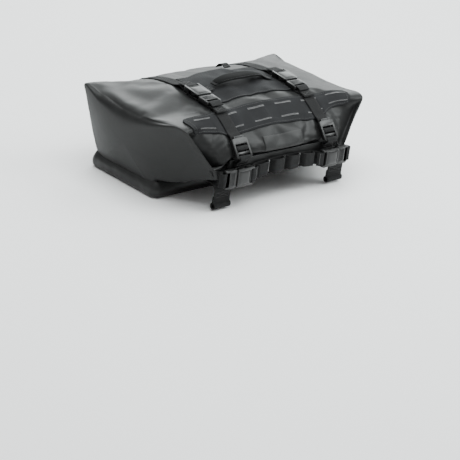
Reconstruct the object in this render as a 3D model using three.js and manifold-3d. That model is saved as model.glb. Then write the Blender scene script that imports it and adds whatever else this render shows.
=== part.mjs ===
// Roll-top tail bag for a motorcycle, closed and strapped down. Millimetres, +Z up.
// X runs along the bag, across the motorcycle. -Y is the front, where the mouth is rolled shut.
// The origin is the centre of the base's flat underside.
import * as THREE from "three";
import { mergeVertices } from "three/addons/utils/BufferGeometryUtils.js";
import Module from "manifold-3d";

const wasm = await Module();
wasm.setup();

// ---------------------------------------------------------------- driving dimensions

const GAP = 0.4; // clearance between pieces that touch
const WEB_THICK = 1.6; // nylon webbing
const WEB_25 = 25; // strap width
const WEB_38 = 38; // mounting strap width
const PANEL_THICK = 1.4; // rubber-coated reinforcement sheet

const STRAP_X = 105; // centre line of each compression strap
const BOOT = { x: 217, y: 90, high: 28, wall: 3, floor: 3, corner: 10, draft: 6 };
const BOARD = { x: 196, y: 70, thick: 3 };
const ROLL = { halfLength: 126, y: -161.5, z: 65, halfTurns: 6, fabric: 1.2 };
const STIFFENER = { halfLength: 120, high: 16, thick: 2 };

// 25 mm side-release buckle. Its own x runs from the male half into the female half, with the
// mouth at x = 0, y runs across the webbing and z is its thickness.
const BUCKLE = { width: 33, thick: 11, female: 38, male: 26, maleThick: 8, corner: 4 };
const ARM = { root: 0.4, length: 22, inner: 8.4, outer: 11.4, barb: 16, thick: 4 };
const LADDER = { width: 35, length: 36, thick: 6, corner: 5 };
const BAR = 3.4; // each bar that webbing wraps is square, this thick
const WRAP = 3.5; // from the middle of a bar to the middle of the webbing round it

// Where the strap buckle and the ladder lock sit, in the plane of their strap.
const STRAP_MOUTH = { y: -66, z: 163.2, pitch: THREE.MathUtils.degToRad(8) };
const LOCK = { y: -170.5, z: 105.4, slope: THREE.MathUtils.degToRad(52) };
const CLOSURE_MOUTH = { x: 122, y: -183, z: 59.5 };

const HANDLE = { y: -36, half: 60, gap: 6.5, end: 14, middle: 28, grip: 31, thick: 7 };
const MOUNT_X = 137.5; // middle of each 38 mm mounting strap
const HINGE_GAP = 1.2; // between a mounting strap's sewn end and the length that swings

// ---------------------------------------------------------------- the bag's surface

// Points round the bag's section, from the bottom rear, up the back, over the top, down the front to
// the rolled mouth, and back under the overhang: [y, z] at the middle, [y, z] under a strap,
// [y, z] at the end of the bag, and the half length there.
const SECTION = [
  { mid: [75, 8], strap: [75, 8], end: [75, 8], half: 202 },
  { mid: [81, 30], strap: [81, 30], end: [84, 30], half: 211 },
  { mid: [92, 52], strap: [90, 52], end: [90, 50], half: 215.5 },
  { mid: [103, 88], strap: [100, 86], end: [97.5, 84], half: 220.5 },
  { mid: [107, 124], strap: [103, 120], end: [103.5, 116], half: 225.5 },
  { mid: [96, 145], strap: [94, 142], end: [107, 147], half: 229 }, // rear top corner
  { mid: [62, 158], strap: [60, 155.5], end: [70, 146], half: 231 },
  { mid: [5, 167], strap: [5, 162], end: [0, 144], half: 232 }, // crown
  { mid: [-60, 164], strap: [-60, 156.5], end: [-70, 143], half: 231 },
  { mid: [-104.5, 152], strap: [-101, 149], end: [-144, 144], half: 215 }, // front top corner
  { mid: [-138, 131], strap: [-132, 130], end: [-153, 116], half: 193 },
  { mid: [-161, 109], strap: [-156, 110], end: [-162, 88], half: 173 },
  { mid: [-171, 89], strap: [-169, 92], end: [-168, 66], half: 154 }, // hem above the roll
  { mid: [-150, 84], strap: [-150, 84], end: [-150, 60], half: 151 },
  { mid: [-142, 48], strap: [-142, 48], end: [-142, 46], half: 155 },
  { mid: [-112, 38], strap: [-112, 38], end: [-113, 38], half: 182 },
  { mid: [-81, 30], strap: [-81, 30], end: [-84, 30], half: 211 },
  { mid: [-75, 8], strap: [-75, 8], end: [-75, 8], half: 202 },
];
const LAST = SECTION.length - 1;
const STRAP_FROM = 88; // the section stays the same between these, so that a strap lies flat
const STRAP_TO = 122;
const X_INNER = [0, 22.5, 45, 67.5, STRAP_FROM, STRAP_TO]; // stations along the bag
const OUTER = 6; // then this many even steps to the end
const END_CENTRE = { x: 221, y: -12, z: 82 };

const range = (a, b) => Array.from({ length: b - a + 1 }, (_, i) => a + i);
const smooth = (s) => s * s * (3 - 2 * s);
const mix = (a, b, s) => a + (b - a) * s;

// Centripetal Catmull-Rom through one column of SECTION, at t in 0..LAST.
function along(pick, t) {
  const k = Math.min(Math.floor(t), LAST - 1);
  const at = (i) => new THREE.Vector3(...pick(SECTION[THREE.MathUtils.clamp(i, 0, LAST)]), 0);
  const curve = new THREE.CatmullRomCurve3([at(k), at(k + 1)]);
  curve.points.unshift(k > 0 ? at(k - 1) : at(k).multiplyScalar(2).sub(at(k + 1)));
  curve.points.push(k + 2 <= LAST ? at(k + 2) : at(k + 1).multiplyScalar(2).sub(at(k)));
  return curve.getPoint((1 + (t - k)) / 3);
}

// A point of the surface. station counts from the middle, so that 5 is STRAP_TO and STATIONS is the end.
function surface(station, t) {
  const side = Math.sign(station) || 1;
  const i = Math.abs(station);
  const mid = along((p) => p.mid, t);
  const strap = along((p) => p.strap, t);
  const half = along((p) => [p.half, 0], t).x;
  const last = X_INNER.length - 1;
  if (i <= last) {
    const k = Math.min(Math.floor(i), last - 1);
    const x = mix(X_INNER[k], X_INNER[k + 1], i - k);
    const p = mid.lerp(strap, smooth(Math.min(x / STRAP_FROM, 1) ** 2));
    return new THREE.Vector3(side * x, p.x, p.y);
  }
  const v = (i - last) / OUTER;
  const p = strap.lerp(along((q) => q.end, t), smooth(v));
  return new THREE.Vector3(side * mix(STRAP_TO, half, v), p.x, p.y);
}

// The station at which the surface has a given x.
function stationAt(x, t) {
  const far = Math.abs(x);
  const last = X_INNER.length - 1;
  if (far >= STRAP_TO) {
    const half = along((p) => [p.half, 0], t).x;
    return Math.sign(x) * (last + (OUTER * (far - STRAP_TO)) / (half - STRAP_TO));
  }
  const k = X_INNER.findIndex((v) => v > far) - 1;
  return Math.sign(x) * (k + (far - X_INNER[k]) / (X_INNER[k + 1] - X_INNER[k]));
}

// The value of t, from the crown to the hem, at which a station's section reaches a given y.
function tAt(station, y) {
  let [low, high] = [7, 12];
  for (let i = 0; i < 24; i++) {
    const t = (low + high) / 2;
    if (surface(station, t).y > y) low = t;
    else high = t;
  }
  return low;
}

// The values of t at which the section has points: half steps where it is curved.
const T_STEPS = [0];
for (let t = 1; t < LAST - 1; t += 0.5) T_STEPS.push(t);
T_STEPS.push(LAST - 1, LAST);
const STATIONS = X_INNER.length - 1 + OUTER;

// Outward normal of the surface at a station and t.
function normal(station, t) {
  const inside = (s) => THREE.MathUtils.clamp(s, -STATIONS, STATIONS);
  const a = surface(inside(station + 1), t).sub(surface(inside(station - 1), t));
  const b = surface(station, Math.min(t + 0.5, LAST)).sub(surface(station, Math.max(t - 0.5, 0)));
  return b.cross(a).normalize();
}

// ---------------------------------------------------------------- solids

// A closed mesh from points and triangles, turned so that it faces out.
function geometryOf(points, triangles) {
  const volume = triangles.reduce((sum, [a, b, c]) => {
    return sum + points[a].dot(points[b].clone().cross(points[c]));
  }, 0);
  const faces = volume > 0 ? triangles : triangles.map(([a, b, c]) => [a, c, b]);
  const g = new THREE.BufferGeometry();
  g.setAttribute("position", new THREE.Float32BufferAttribute(points.flatMap((p) => [p.x, p.y, p.z]), 3));
  g.setIndex(faces.flat());
  return g.toNonIndexed();
}

function toManifold(geometry) {
  const g = geometry.clone();
  g.deleteAttribute("normal");
  g.deleteAttribute("uv");
  const m = mergeVertices(g, 1e-4);
  return new wasm.Manifold(
    new wasm.Mesh({
      numProp: 3,
      vertProperties: m.attributes.position.array,
      triVerts: new Uint32Array(m.index.array),
    }),
  );
}

function fromManifold(solid) {
  const m = solid.getMesh();
  const g = new THREE.BufferGeometry();
  g.setAttribute("position", new THREE.BufferAttribute(new Float32Array(m.vertProperties), 3));
  g.setIndex(new THREE.BufferAttribute(new Uint32Array(m.triVerts), 1));
  return g.toNonIndexed();
}

const join = (...parts) => fromManifold(parts.map(toManifold).reduce((a, b) => a.add(b)));
const cut = (from, ...tools) =>
  fromManifold(tools.map(toManifold).reduce((a, b) => a.subtract(b), toManifold(from)));
const keep = (from, region) => fromManifold(toManifold(from).intersect(toManifold(region)));

// A box from its lowest and highest corner.
function box(low, high) {
  const size = high.map((h, i) => h - low[i]);
  return new THREE.BoxGeometry(...size).translate(...low.map((l, i) => l + size[i] / 2));
}

// A plate: an outline in x and y, from z = low to z = high.
function plate(shape, low, high, curveSegments = 4) {
  const options = { depth: high - low, bevelEnabled: false, curveSegments };
  return new THREE.ExtrudeGeometry(shape, options).translate(0, 0, low);
}

function roundedRect(x0, y0, x1, y1, r) {
  const s = new THREE.Shape();
  s.moveTo(x0 + r, y0);
  s.lineTo(x1 - r, y0).absarc(x1 - r, y0 + r, r, -Math.PI / 2, 0);
  s.lineTo(x1, y1 - r).absarc(x1 - r, y1 - r, r, 0, Math.PI / 2);
  s.lineTo(x0 + r, y1).absarc(x0 + r, y1 - r, r, Math.PI / 2, Math.PI);
  s.lineTo(x0, y0 + r).absarc(x0 + r, y0 + r, r, Math.PI, 1.5 * Math.PI);
  return s;
}

// Webbing that follows a flat path of [a, b] points. plane says what the path's two directions are
// and which way its width runs: "yz" across x, "xz" across y, "xy" across z. wide may be a function
// of the share along the path.
function ribbon(path, { plane, centre, wide, thick = WEB_THICK }) {
  const p = path.map(([a, b]) => new THREE.Vector2(a, b));
  const lengths = p.map((q, i) => (i ? q.distanceTo(p[i - 1]) : 0));
  const total = lengths.reduce((a, b) => a + b);
  const width = typeof wide === "function" ? wide : () => wide;
  const points = [];
  let gone = 0;
  p.forEach((q, i) => {
    gone += lengths[i];
    const before = i ? q.clone().sub(p[i - 1]).normalize() : null;
    const after = i < p.length - 1 ? p[i + 1].clone().sub(q).normalize() : null;
    const along2 = (before || after).clone().add(after || before).normalize();
    const stretch = before && after ? 1 / Math.max(0.5, along2.dot(before)) : 1;
    const n = new THREE.Vector2(-along2.y, along2.x).multiplyScalar((thick / 2) * stretch);
    const w = width(gone / total) / 2;
    for (const [side, edge] of [[1, -1], [1, 1], [-1, 1], [-1, -1]]) {
      const [a, b, c] = [q.x + side * n.x, q.y + side * n.y, centre + edge * w];
      if (plane === "yz") points.push(new THREE.Vector3(c, a, b));
      if (plane === "xz") points.push(new THREE.Vector3(a, c, b));
      if (plane === "xy") points.push(new THREE.Vector3(a, b, c));
    }
  });
  const triangles = [];
  const quad = (a, b, c, d) => triangles.push([a, b, c], [a, c, d]);
  for (let i = 0; i < p.length - 1; i++)
    for (let k = 0; k < 4; k++) {
      const m = (k + 1) % 4;
      quad(4 * i + k, 4 * i + m, 4 * i + 4 + m, 4 * i + 4 + k);
    }
  quad(3, 2, 1, 0);
  const e = 4 * (p.length - 1);
  quad(e, e + 1, e + 2, e + 3);
  return geometryOf(points, triangles);
}

// Points of an arc, in degrees, for a webbing path.
function arc(cx, cy, r, from, to, steps = 6) {
  return Array.from({ length: steps + 1 }, (_, i) => {
    const a = THREE.MathUtils.degToRad(mix(from, to, i / steps));
    return [cx + r * Math.cos(a), cy + r * Math.sin(a)];
  });
}

// A sheet laid on the bag over a range of stations and t, standing off by lift. ts gives the same
// number of values of t at every station.
function laidSheet(stations, ts, lift, thick) {
  const points = [];
  for (const off of [lift, lift + thick])
    for (const s of stations)
      for (const t of ts(s)) points.push(surface(s, t).addScaledVector(normal(s, t), off));
  const n = ts(0).length;
  const m = stations.length;
  const id = (layer, i, j) => layer * m * n + i * n + j;
  const triangles = [];
  const quad = (a, b, c, d) => triangles.push([a, b, c], [a, c, d]);
  for (let i = 0; i < m - 1; i++)
    for (let j = 0; j < n - 1; j++) {
      quad(id(1, i, j), id(1, i + 1, j), id(1, i + 1, j + 1), id(1, i, j + 1));
      quad(id(0, i, j), id(0, i, j + 1), id(0, i + 1, j + 1), id(0, i + 1, j));
    }
  for (let i = 0; i < m - 1; i++) {
    quad(id(0, i, 0), id(0, i + 1, 0), id(1, i + 1, 0), id(1, i, 0));
    quad(id(0, i, n - 1), id(1, i, n - 1), id(1, i + 1, n - 1), id(0, i + 1, n - 1));
  }
  for (let j = 0; j < n - 1; j++) {
    quad(id(0, 0, j), id(1, 0, j), id(1, 0, j + 1), id(0, 0, j + 1));
    quad(id(0, m - 1, j), id(0, m - 1, j + 1), id(1, m - 1, j + 1), id(1, m - 1, j));
  }
  return geometryOf(points, triangles);
}

// ---------------------------------------------------------------- bag, base and closure

function bodyShell() {
  const stations = range(-STATIONS, STATIONS);
  const points = stations.flatMap((s) => T_STEPS.map((t) => surface(s, t)));
  const n = T_STEPS.length;
  const triangles = [];
  for (let i = 0; i < stations.length - 1; i++)
    for (let j = 0; j < n; j++) {
      const k = (j + 1) % n;
      const [a, b, c, d] = [i * n + j, (i + 1) * n + j, (i + 1) * n + k, i * n + k];
      triangles.push([a, b, c], [a, c, d]);
    }
  for (const side of [-1, 1]) {
    const first = side < 0 ? 0 : (stations.length - 1) * n;
    points.push(new THREE.Vector3(side * END_CENTRE.x, END_CENTRE.y, END_CENTRE.z));
    const centre = points.length - 1;
    for (let j = 0; j < n; j++) {
      const [a, b] = [first + j, first + ((j + 1) % n)];
      triangles.push(side < 0 ? [centre, a, b] : [centre, b, a]);
    }
  }
  return geometryOf(points, triangles);
}

// The folded gusset on one end: a doubled flap that lies on the front part of the end and stands
// past the front corner as a wing, from the front top corner down to its tip beside the roll.
const WING = { lift: 0.6, thick: 2.6, reach: 7, inward: 0.4, from: 9, to: 12.5 };
function gussetFold(side) {
  const centre = new THREE.Vector3(side * END_CENTRE.x, END_CENTRE.y, END_CENTRE.z);
  const ts = T_STEPS.filter((t) => t >= WING.from && t <= WING.to);
  const rim = ts.map((t) => surface(side * STATIONS, t));
  const rows = rim.map((p, j) => {
    const next = rim[Math.min(j + 1, rim.length - 1)];
    const last = rim[Math.max(j - 1, 0)];
    const n = next.clone().sub(last).cross(centre.clone().sub(p)).normalize();
    if (n.x * side < 0) n.negate();
    const out = p.clone().sub(centre).normalize();
    const share = j / (rim.length - 1);
    const reach = WING.reach * Math.sin(Math.PI * mix(0.12, 0.86, share));
    return [
      p.clone().lerp(centre, WING.inward * mix(0.6, 1, share)),
      p.clone(),
      p.clone().addScaledVector(out, reach),
    ].map((q) => [
      q.clone().addScaledVector(n, WING.lift),
      q.clone().addScaledVector(n, WING.lift + WING.thick),
    ]);
  });
  const points = rows.flat(2);
  const id = (j, c, layer) => j * 6 + c * 2 + layer;
  const triangles = [];
  const quad = (a, b, c, d) => triangles.push([a, b, c], [a, c, d]);
  for (let j = 0; j < rows.length - 1; j++) {
    for (let c = 0; c < 2; c++) {
      quad(id(j, c, 1), id(j, c + 1, 1), id(j + 1, c + 1, 1), id(j + 1, c, 1));
      quad(id(j, c, 0), id(j + 1, c, 0), id(j + 1, c + 1, 0), id(j, c + 1, 0));
    }
    quad(id(j, 0, 0), id(j, 0, 1), id(j + 1, 0, 1), id(j + 1, 0, 0));
    quad(id(j, 2, 0), id(j + 1, 2, 0), id(j + 1, 2, 1), id(j, 2, 1));
  }
  for (const [j, flip] of [[0, false], [rows.length - 1, true]])
    for (let c = 0; c < 2; c++) {
      const q = [id(j, c, 0), id(j, c + 1, 0), id(j, c + 1, 1), id(j, c, 1)];
      quad(...(flip ? q.reverse() : q));
    }
  return geometryOf(points, triangles);
}

// An open tray round the bottom of the bag: a loft between a smaller floor and a larger rim.
function traySolid(inset, low, high) {
  const steps = 5;
  const ring = (z, grow) => {
    const r = BOOT.corner - inset;
    const outline = roundedRect(-BOOT.x + inset - grow, -BOOT.y + inset - grow, BOOT.x - inset + grow,
      BOOT.y - inset + grow, r);
    return outline.getPoints(steps).slice(0, -1).map((p) => new THREE.Vector3(p.x, p.y, z));
  };
  const rings = [ring(low, -BOOT.draft), ring(low + (high - low) * 0.35, -1), ring(high, 0)];
  const n = rings[0].length;
  const points = [...rings.flat(), new THREE.Vector3(0, 0, low), new THREE.Vector3(0, 0, high)];
  const triangles = [];
  for (let i = 0; i < rings.length - 1; i++)
    for (let j = 0; j < n; j++) {
      const k = (j + 1) % n;
      triangles.push([i * n + j, i * n + k, (i + 1) * n + k], [i * n + j, (i + 1) * n + k, (i + 1) * n + j]);
    }
  for (let j = 0; j < n; j++) {
    const k = (j + 1) % n;
    const top = (rings.length - 1) * n;
    triangles.push([points.length - 2, k, j], [points.length - 1, top + j, top + k]);
  }
  return geometryOf(points, triangles);
}

function baseBoot() {
  const inner = traySolid(BOOT.wall, BOOT.floor, BOOT.high + 5);
  return cut(traySolid(0, 0, BOOT.high), inner);
}

function baseBoard() {
  const low = BOOT.floor + GAP;
  return plate(roundedRect(-BOARD.x, -BOARD.y, BOARD.x, BOARD.y, 20), low, low + BOARD.thick);
}

// The mouth, rolled flat round its stiffener, as a spiral of one layer of fabric. It leaves the roll
// at the front and rises to the bag's hem.
function closureRoll() {
  const pitch = ROLL.fabric + GAP;
  const inner = STIFFENER.thick / 2 + GAP + ROLL.fabric / 2 + pitch / 2;
  const path = [[ROLL.y - inner + pitch / 4, ROLL.z - STIFFENER.high / 2]];
  let r = inner;
  for (let k = 0; k < ROLL.halfTurns; k++) {
    const up = k % 2 === 0;
    const y = ROLL.y + (up ? pitch / 4 : -pitch / 4);
    const z = ROLL.z + (up ? STIFFENER.high / 2 : -STIFFENER.high / 2);
    path.push(...arc(y, z, r, up ? 180 : 0, up ? 0 : -180, 5));
    r += pitch / 2;
  }
  path.push([path.at(-1)[0], ROLL.z + 14], [path.at(-1)[0] - 1.5, ROLL.z + 18.5]);
  return ribbon(path, { plane: "yz", centre: 0, wide: 2 * ROLL.halfLength, thick: ROLL.fabric });
}

function closureStiffener() {
  const half = STIFFENER.thick / 2;
  return box([-STIFFENER.halfLength, ROLL.y - half, ROLL.z - STIFFENER.high / 2],
    [STIFFENER.halfLength, ROLL.y + half, ROLL.z + STIFFENER.high / 2]);
}

// ---------------------------------------------------------------- reinforcement sheets

// A panel with two rows of slits that webbing can be woven through.
const MOLLE = { from: -104, to: -146, end: 10, endFrom: -112, endTo: 9.3, lift: 1.4 }; // endTo is a t
const SLIT = { long: 37, wide: 1.8, pitch: 66, count: 6, shift: 8, rows: [-112.5, -134] };
function mollePanel() {
  const edges = (s) => {
    const ends = Math.abs(s) === MOLLE.end;
    const top = tAt(s, ends ? MOLLE.endFrom : MOLLE.from);
    const low = ends ? MOLLE.endTo : tAt(s, MOLLE.to);
    const apart = (t, i) => Math.min(Math.max(t, top + 0.04 * (i + 1)), low - 0.04 * (4 - i));
    const creases = [8.5, 9, 9.5, 10].map(apart);
    return [top, ...creases, low];
  };
  const slits = SLIT.rows.flatMap((y) =>
    range(0, SLIT.count - 1).map((i) => {
      const x = (i - (SLIT.count - 1) / 2) * SLIT.pitch + SLIT.shift;
      const station = stationAt(x, 9);
      const t = tAt(station, y);
      const n = normal(station, t);
      const slit = new THREE.BoxGeometry(SLIT.long, SLIT.wide, 24);
      slit.rotateX(Math.atan2(-n.y, n.z));
      return slit.translate(x, y, surface(station, t).z);
    }),
  );
  return cut(laidSheet(range(-MOLLE.end, MOLLE.end), edges, MOLLE.lift, PANEL_THICK), ...slits);
}

const handlePanel = () => laidSheet(range(-4, 4), () => [6.6, 7, 7.5, 8, 8.42], 0.6, PANEL_THICK);
const labelPatch = () => laidSheet([-2, -1, 0, 1, 2], () => [10.85, 11.2, 11.5, 11.85], 0.8, 1);

// ---------------------------------------------------------------- compression straps

// The bag's section under a strap, moved out by off, as a webbing path.
function underStrap(from, to, off) {
  const step = from < to ? 0.5 : -0.5;
  const ts = [];
  for (let t = from; (to - t) * step > 0; t += step) ts.push(t);
  ts.push(to);
  return ts.map((t) => {
    const p = surface(5, t).addScaledVector(normal(4, t).setX(0).normalize(), off(t));
    return [p.y, p.z];
  });
}

// A point of the strap buckle's own x and z, in the strap's plane.
function onBuckle(x, z) {
  const [c, s] = [Math.cos(STRAP_MOUTH.pitch), Math.sin(STRAP_MOUTH.pitch)];
  return [STRAP_MOUTH.y + x * c - z * s, STRAP_MOUTH.z + x * s + z * c];
}
// A point of the ladder lock: a up the slope from its middle, b out from the bag.
function onLock(a, b) {
  const [c, s] = [Math.cos(LOCK.slope), Math.sin(LOCK.slope)];
  return [LOCK.y + a * c - b * s, LOCK.z + a * s + b * c];
}

const FEMALE_BAR = BUCKLE.female - BAR / 2; // middle of the female half's bar, along the buckle
const MALE_BAR = -BUCKLE.male + BAR / 2;
const ANCHOR_BAR = -LADDER.length / 2 + BAR / 2; // the ladder lock's lower bar
const GRIP_BAR = 0.4; // and the bar that the adjustable webbing wraps

// Up the back, over the top and round the female half's bar, where it is sewn back to itself.
function rearStrap(x) {
  const lie = (t) => (t > 6 ? mix(1.4, 2, t - 6) : 1.4);
  const path = [
    ...underStrap(2, 7, lie),
    ...[[54, -2.5], [46, -3.4], [41, -WRAP]].map((p) => onBuckle(...p)),
    ...arc(FEMALE_BAR, 0, WRAP, 270, 90).map((p) => onBuckle(...p)),
    ...[[44, 2], [56, 0]].map((p) => onBuckle(...p)),
  ];
  return ribbon(path, { plane: "yz", centre: x, wide: WEB_25 });
}

// Round the male half's bar and sewn down on the front strap, which it lies on.
function frontStrapUpper(x) {
  const path = [
    ...[[-36, 0.2], [-30, 2.6]].map((p) => onBuckle(...p)),
    ...arc(MALE_BAR, 0, WRAP, 90, -90).map((p) => onBuckle(...p)),
    onBuckle(-29, -3.2),
    ...underStrap(9.14, 9.3, () => 7.8),
  ];
  return ribbon(path, { plane: "yz", centre: x, wide: WEB_25 });
}

// Over the slit panel, down the front and under the ladder lock. Its end moves with the lock.
function frontStrap(x, part) {
  const path = [
    ...underStrap(9, 10.4, () => 4.1),
    ...[[24, -4.2], [12, -4.5], [9.4, -4.5]].map((p) => onLock(...p)),
    ...arc(GRIP_BAR, 0, WRAP, -55, 210, 8).map((p) => onLock(...p)),
    ...[[-5, -3.6], [-9.4, -4]].map((p) => onLock(...p)),
  ];
  const whole = ribbon(path, { plane: "yz", centre: x, wide: WEB_25 });
  const half = (from) => {
    const g = box([-40, -80, from], [40, 80, from + 160]);
    return g.rotateX(LOCK.slope - Math.PI / 2).translate(x, ...onLock(23, 0));
  };
  return part === "fixed" ? keep(whole, half(GAP / 2)) : keep(whole, half(-160 - GAP / 2));
}

// Ties the ladder lock down: round its lower bar, down the face of the roll and under it.
function anchorTab(x) {
  const path = [
    [-171.6, 73],
    [-171.8, 83],
    ...arc(ANCHOR_BAR, 0, 3.3, -115, 90, 7).map((p) => onLock(...p)),
    onLock(-20.4, 2.2),
    [-175, 80],
    [-174, 72],
    [-173.6, 54],
    [-171, 48.6],
    [-164, 46.8],
    [-152, 47],
  ];
  return ribbon(path, { plane: "yz", centre: x, wide: WEB_25, thick: 1.2 });
}

// A 38 mm mounting strap: sewn to the bag at its upper end, and folded into a sewn eye at its lower
// end. The eye's middle is at (y, z), and rest is the way up from it. The strap is cut at its hinge
// line, just below the seam.
const FRONT_MOUNT = {
  eye: [-170, 9],
  rest: [[-171.1, 37], [-169.5, 42], [-163, 47], [-150, 48.2]],
  hinge: [-166.3, 44.5],
};
const REAR_MOUNT = { eye: [97, 9], rest: [[95.9, 34], [94.9, 40], [91.2, 48]], hinge: [93.6, 42.8] };
function mountStrap(x, { eye: [y, z], rest, hinge }, part) {
  const eye = arc(y, z, 5.2, 70, -250, 14);
  const path = [[y + 1.1, z + 17], [y + 1.1, z + 13], ...eye, [y - 1.1, z + 13], ...rest];
  const whole = ribbon(path, { plane: "yz", centre: x, wide: WEB_38 });
  const [below, above] = rest.slice(-3);
  const slope = Math.atan2(below[0] - above[0], above[1] - below[1]);
  const side = box([-40, -80, HINGE_GAP / 2], [40, 80, 80]);
  if (part === "swinging") side.rotateX(Math.PI);
  return keep(whole, side.rotateX(slope).translate(x, ...hinge));
}

// ---------------------------------------------------------------- closure webbing

const DAISY = { pitch: 37, loops: 4, stand: 9.5, y: -173.4 };

// Along the face of the roll, and round the female half's bar at each end.
function closureWebbing() {
  const bar = CLOSURE_MOUTH.x - FEMALE_BAR;
  const end = (side) => [
    [side * 76, -171.6],
    [side * 83, -174.5],
    ...arc(bar, CLOSURE_MOUTH.y, WRAP, 90, -90).map(([x, y]) => [side * x, y]),
    [side * 84, CLOSURE_MOUTH.y - 2.6],
    [side * 78, -182.6],
  ];
  const path = [...end(-1).reverse(), ...end(1)];
  return ribbon(path, { plane: "xy", centre: CLOSURE_MOUTH.z, wide: WEB_25, thick: 1.4 });
}

// Sewn onto the closure webbing between its loops.
function daisyWebbing() {
  const path = [];
  for (let i = 0; i < DAISY.loops; i++) {
    const x = (i - DAISY.loops / 2) * DAISY.pitch;
    const bump = (s) => DAISY.y - DAISY.stand * Math.sin(Math.PI * s) ** 0.6;
    path.push([x, DAISY.y], [x + 4, DAISY.y]);
    for (const s of [0.1, 0.25, 0.5, 0.75, 0.9]) path.push([x + 4 + s * (DAISY.pitch - 8), bump(s)]);
    path.push([x + DAISY.pitch - 4, DAISY.y]);
  }
  path.push([(DAISY.loops / 2) * DAISY.pitch, DAISY.y]);
  return ribbon(path, { plane: "xy", centre: CLOSURE_MOUTH.z, wide: WEB_25, thick: 1.4 });
}

// From behind a wing's tip, out and forwards, then round the bar of the closure buckle's male half.
function wingTab(side) {
  const bar = CLOSURE_MOUTH.x - MALE_BAR;
  const path = [
    [bar + 9.3, CLOSURE_MOUTH.y + 7.1],
    ...arc(bar + 4.5, CLOSURE_MOUTH.y + 1.8, 5.3, 90, -90),
    ...arc(bar, CLOSURE_MOUTH.y, WRAP, -90, -230, 5),
  ].map(([x, y]) => [side * x, y]);
  return ribbon(path, { plane: "xy", centre: CLOSURE_MOUTH.z, wide: WEB_25, thick: 1.2 });
}

// ---------------------------------------------------------------- buckles

// Boxes that thin a plate to BAR between two values of x, so that webbing can wrap it there.
const thinned = (from, to) => [1, -1].map((side) =>
  side > 0 ? box([from, -13, BAR / 2], [to, 13, 20]) : box([from, -13, -20], [to, 13, -BAR / 2]));

function femaleHalf() {
  const { width, thick, female, corner } = BUCKLE;
  const body = plate(roundedRect(0, -width / 2, female, width / 2, corner), -thick / 2, thick / 2);
  return cut(
    body,
    box([-1, -13.4, -2.7], [27, 13.4, 2.7]), // room for the arms and the tongue
    box([-1, -20, -2.4], [23, 20, 2.4]), // the slot that the arms' barbs slide along
    box([8, -20, -3.6], [23, 20, 3.6]), // side windows
    box([30.2, -13, -20], [female - BAR, 13, 20]), // webbing slot
    ...thinned(female - BAR - 1, female + 1),
  );
}

function maleHalf() {
  const { width, male, maleThick, corner } = BUCKLE;
  const outline = roundedRect(-male, -width / 2, -0.3, width / 2, corner);
  const body = plate(outline, -maleThick / 2, maleThick / 2);
  const opening = box([-male + BAR, -13, -20], [-17.8, 13, 20]);
  const frame = cut(body, opening, ...thinned(-male - 1, -male + BAR + 1));
  return join(frame, box([-2, -4, -1.8], [25, 4, 1.8]));
}

// One springy arm of the male half, with the barb that is pressed to let go.
function springArm(side) {
  const { root, length, inner, outer, barb } = ARM;
  const s = new THREE.Shape();
  s.moveTo(root, inner);
  s.lineTo(length - 2, inner + 1.2);
  s.lineTo(length, inner + 3);
  s.quadraticCurveTo(length - 1, barb, length - 8, barb);
  s.lineTo(length - 13, barb - 0.6);
  s.lineTo(length - 13.4, outer + 0.6);
  s.lineTo(root, outer);
  const arm = plate(s, -ARM.thick / 2, ARM.thick / 2);
  return side > 0 ? arm : arm.rotateX(Math.PI);
}

// Ladder lock: a frame with two slots for the adjustable webbing, one for the webbing that anchors
// it, and a lip at the top to lift it by.
function ladderLock() {
  const { width, length, thick, corner } = LADDER;
  const outline = roundedRect(-length / 2, -width / 2, length / 2, width / 2, corner);
  const frame = plate(outline, -thick / 2, thick / 2);
  const grip = [GRIP_BAR - BAR / 2, GRIP_BAR + BAR / 2];
  const slots = [[-length / 2 + BAR, -10.2], [-6.4, grip[0]], [grip[1], 7.6]];
  const lip = box([length / 2 - 3, -11, -0.4], [length / 2 + 4, 11, thick / 2]);
  const open = cut(frame, ...slots.map(([a, b]) => box([a, -13, -20], [b, 13, 20])), ...thinned(-20, 7.6));
  return join(open, lip);
}

// ---------------------------------------------------------------- handle and lash loop

// The top of the handle panel, above the handle's centre line.
function panelTop(x) {
  const station = stationAt(x, 8);
  return surface(station, tAt(station, HANDLE.y)).z + 0.6 + PANEL_THICK;
}
const handleEnd = panelTop(HANDLE.half) + 2.6; // middle of the webbing where it is sewn down
const handleTop = panelTop(0) + HANDLE.gap + HANDLE.thick / 2;

const handlePath = range(0, 16).map((i) => {
  const s = i / 8 - 1;
  return [s * HANDLE.half, mix(handleEnd, handleTop, 1 - Math.abs(s) ** 3)];
});
const handleWide = (s) => mix(HANDLE.end, HANDLE.middle, smooth(Math.min(1, Math.min(s, 1 - s) * 3.2)));
const handleWebbing = () => ribbon(handlePath, { plane: "xz", centre: HANDLE.y, wide: handleWide, thick: 2 });

function handleGrip() {
  const part = handlePath.slice(3, 14);
  const outer = ribbon(part, { plane: "xz", centre: HANDLE.y, wide: HANDLE.grip, thick: HANDLE.thick });
  const past = (i, by) => [part.at(i)[0] + by, part.at(i)[1] - 1.5];
  const hole = [past(0, -5), ...part, past(-1, 5)];
  return cut(outer, ribbon(hole, { plane: "xz", centre: HANDLE.y, wide: HANDLE.middle + 0.8, thick: 2.9 }));
}

// Where the handle's ends are sewn down.
function handleAnchor(side) {
  const path = [61.4, 66, 71, 76].map((x) => [side * x, panelTop(x) + 3.1]);
  return ribbon(path, { plane: "xz", centre: HANDLE.y, wide: 18, thick: 1.6 });
}

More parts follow.
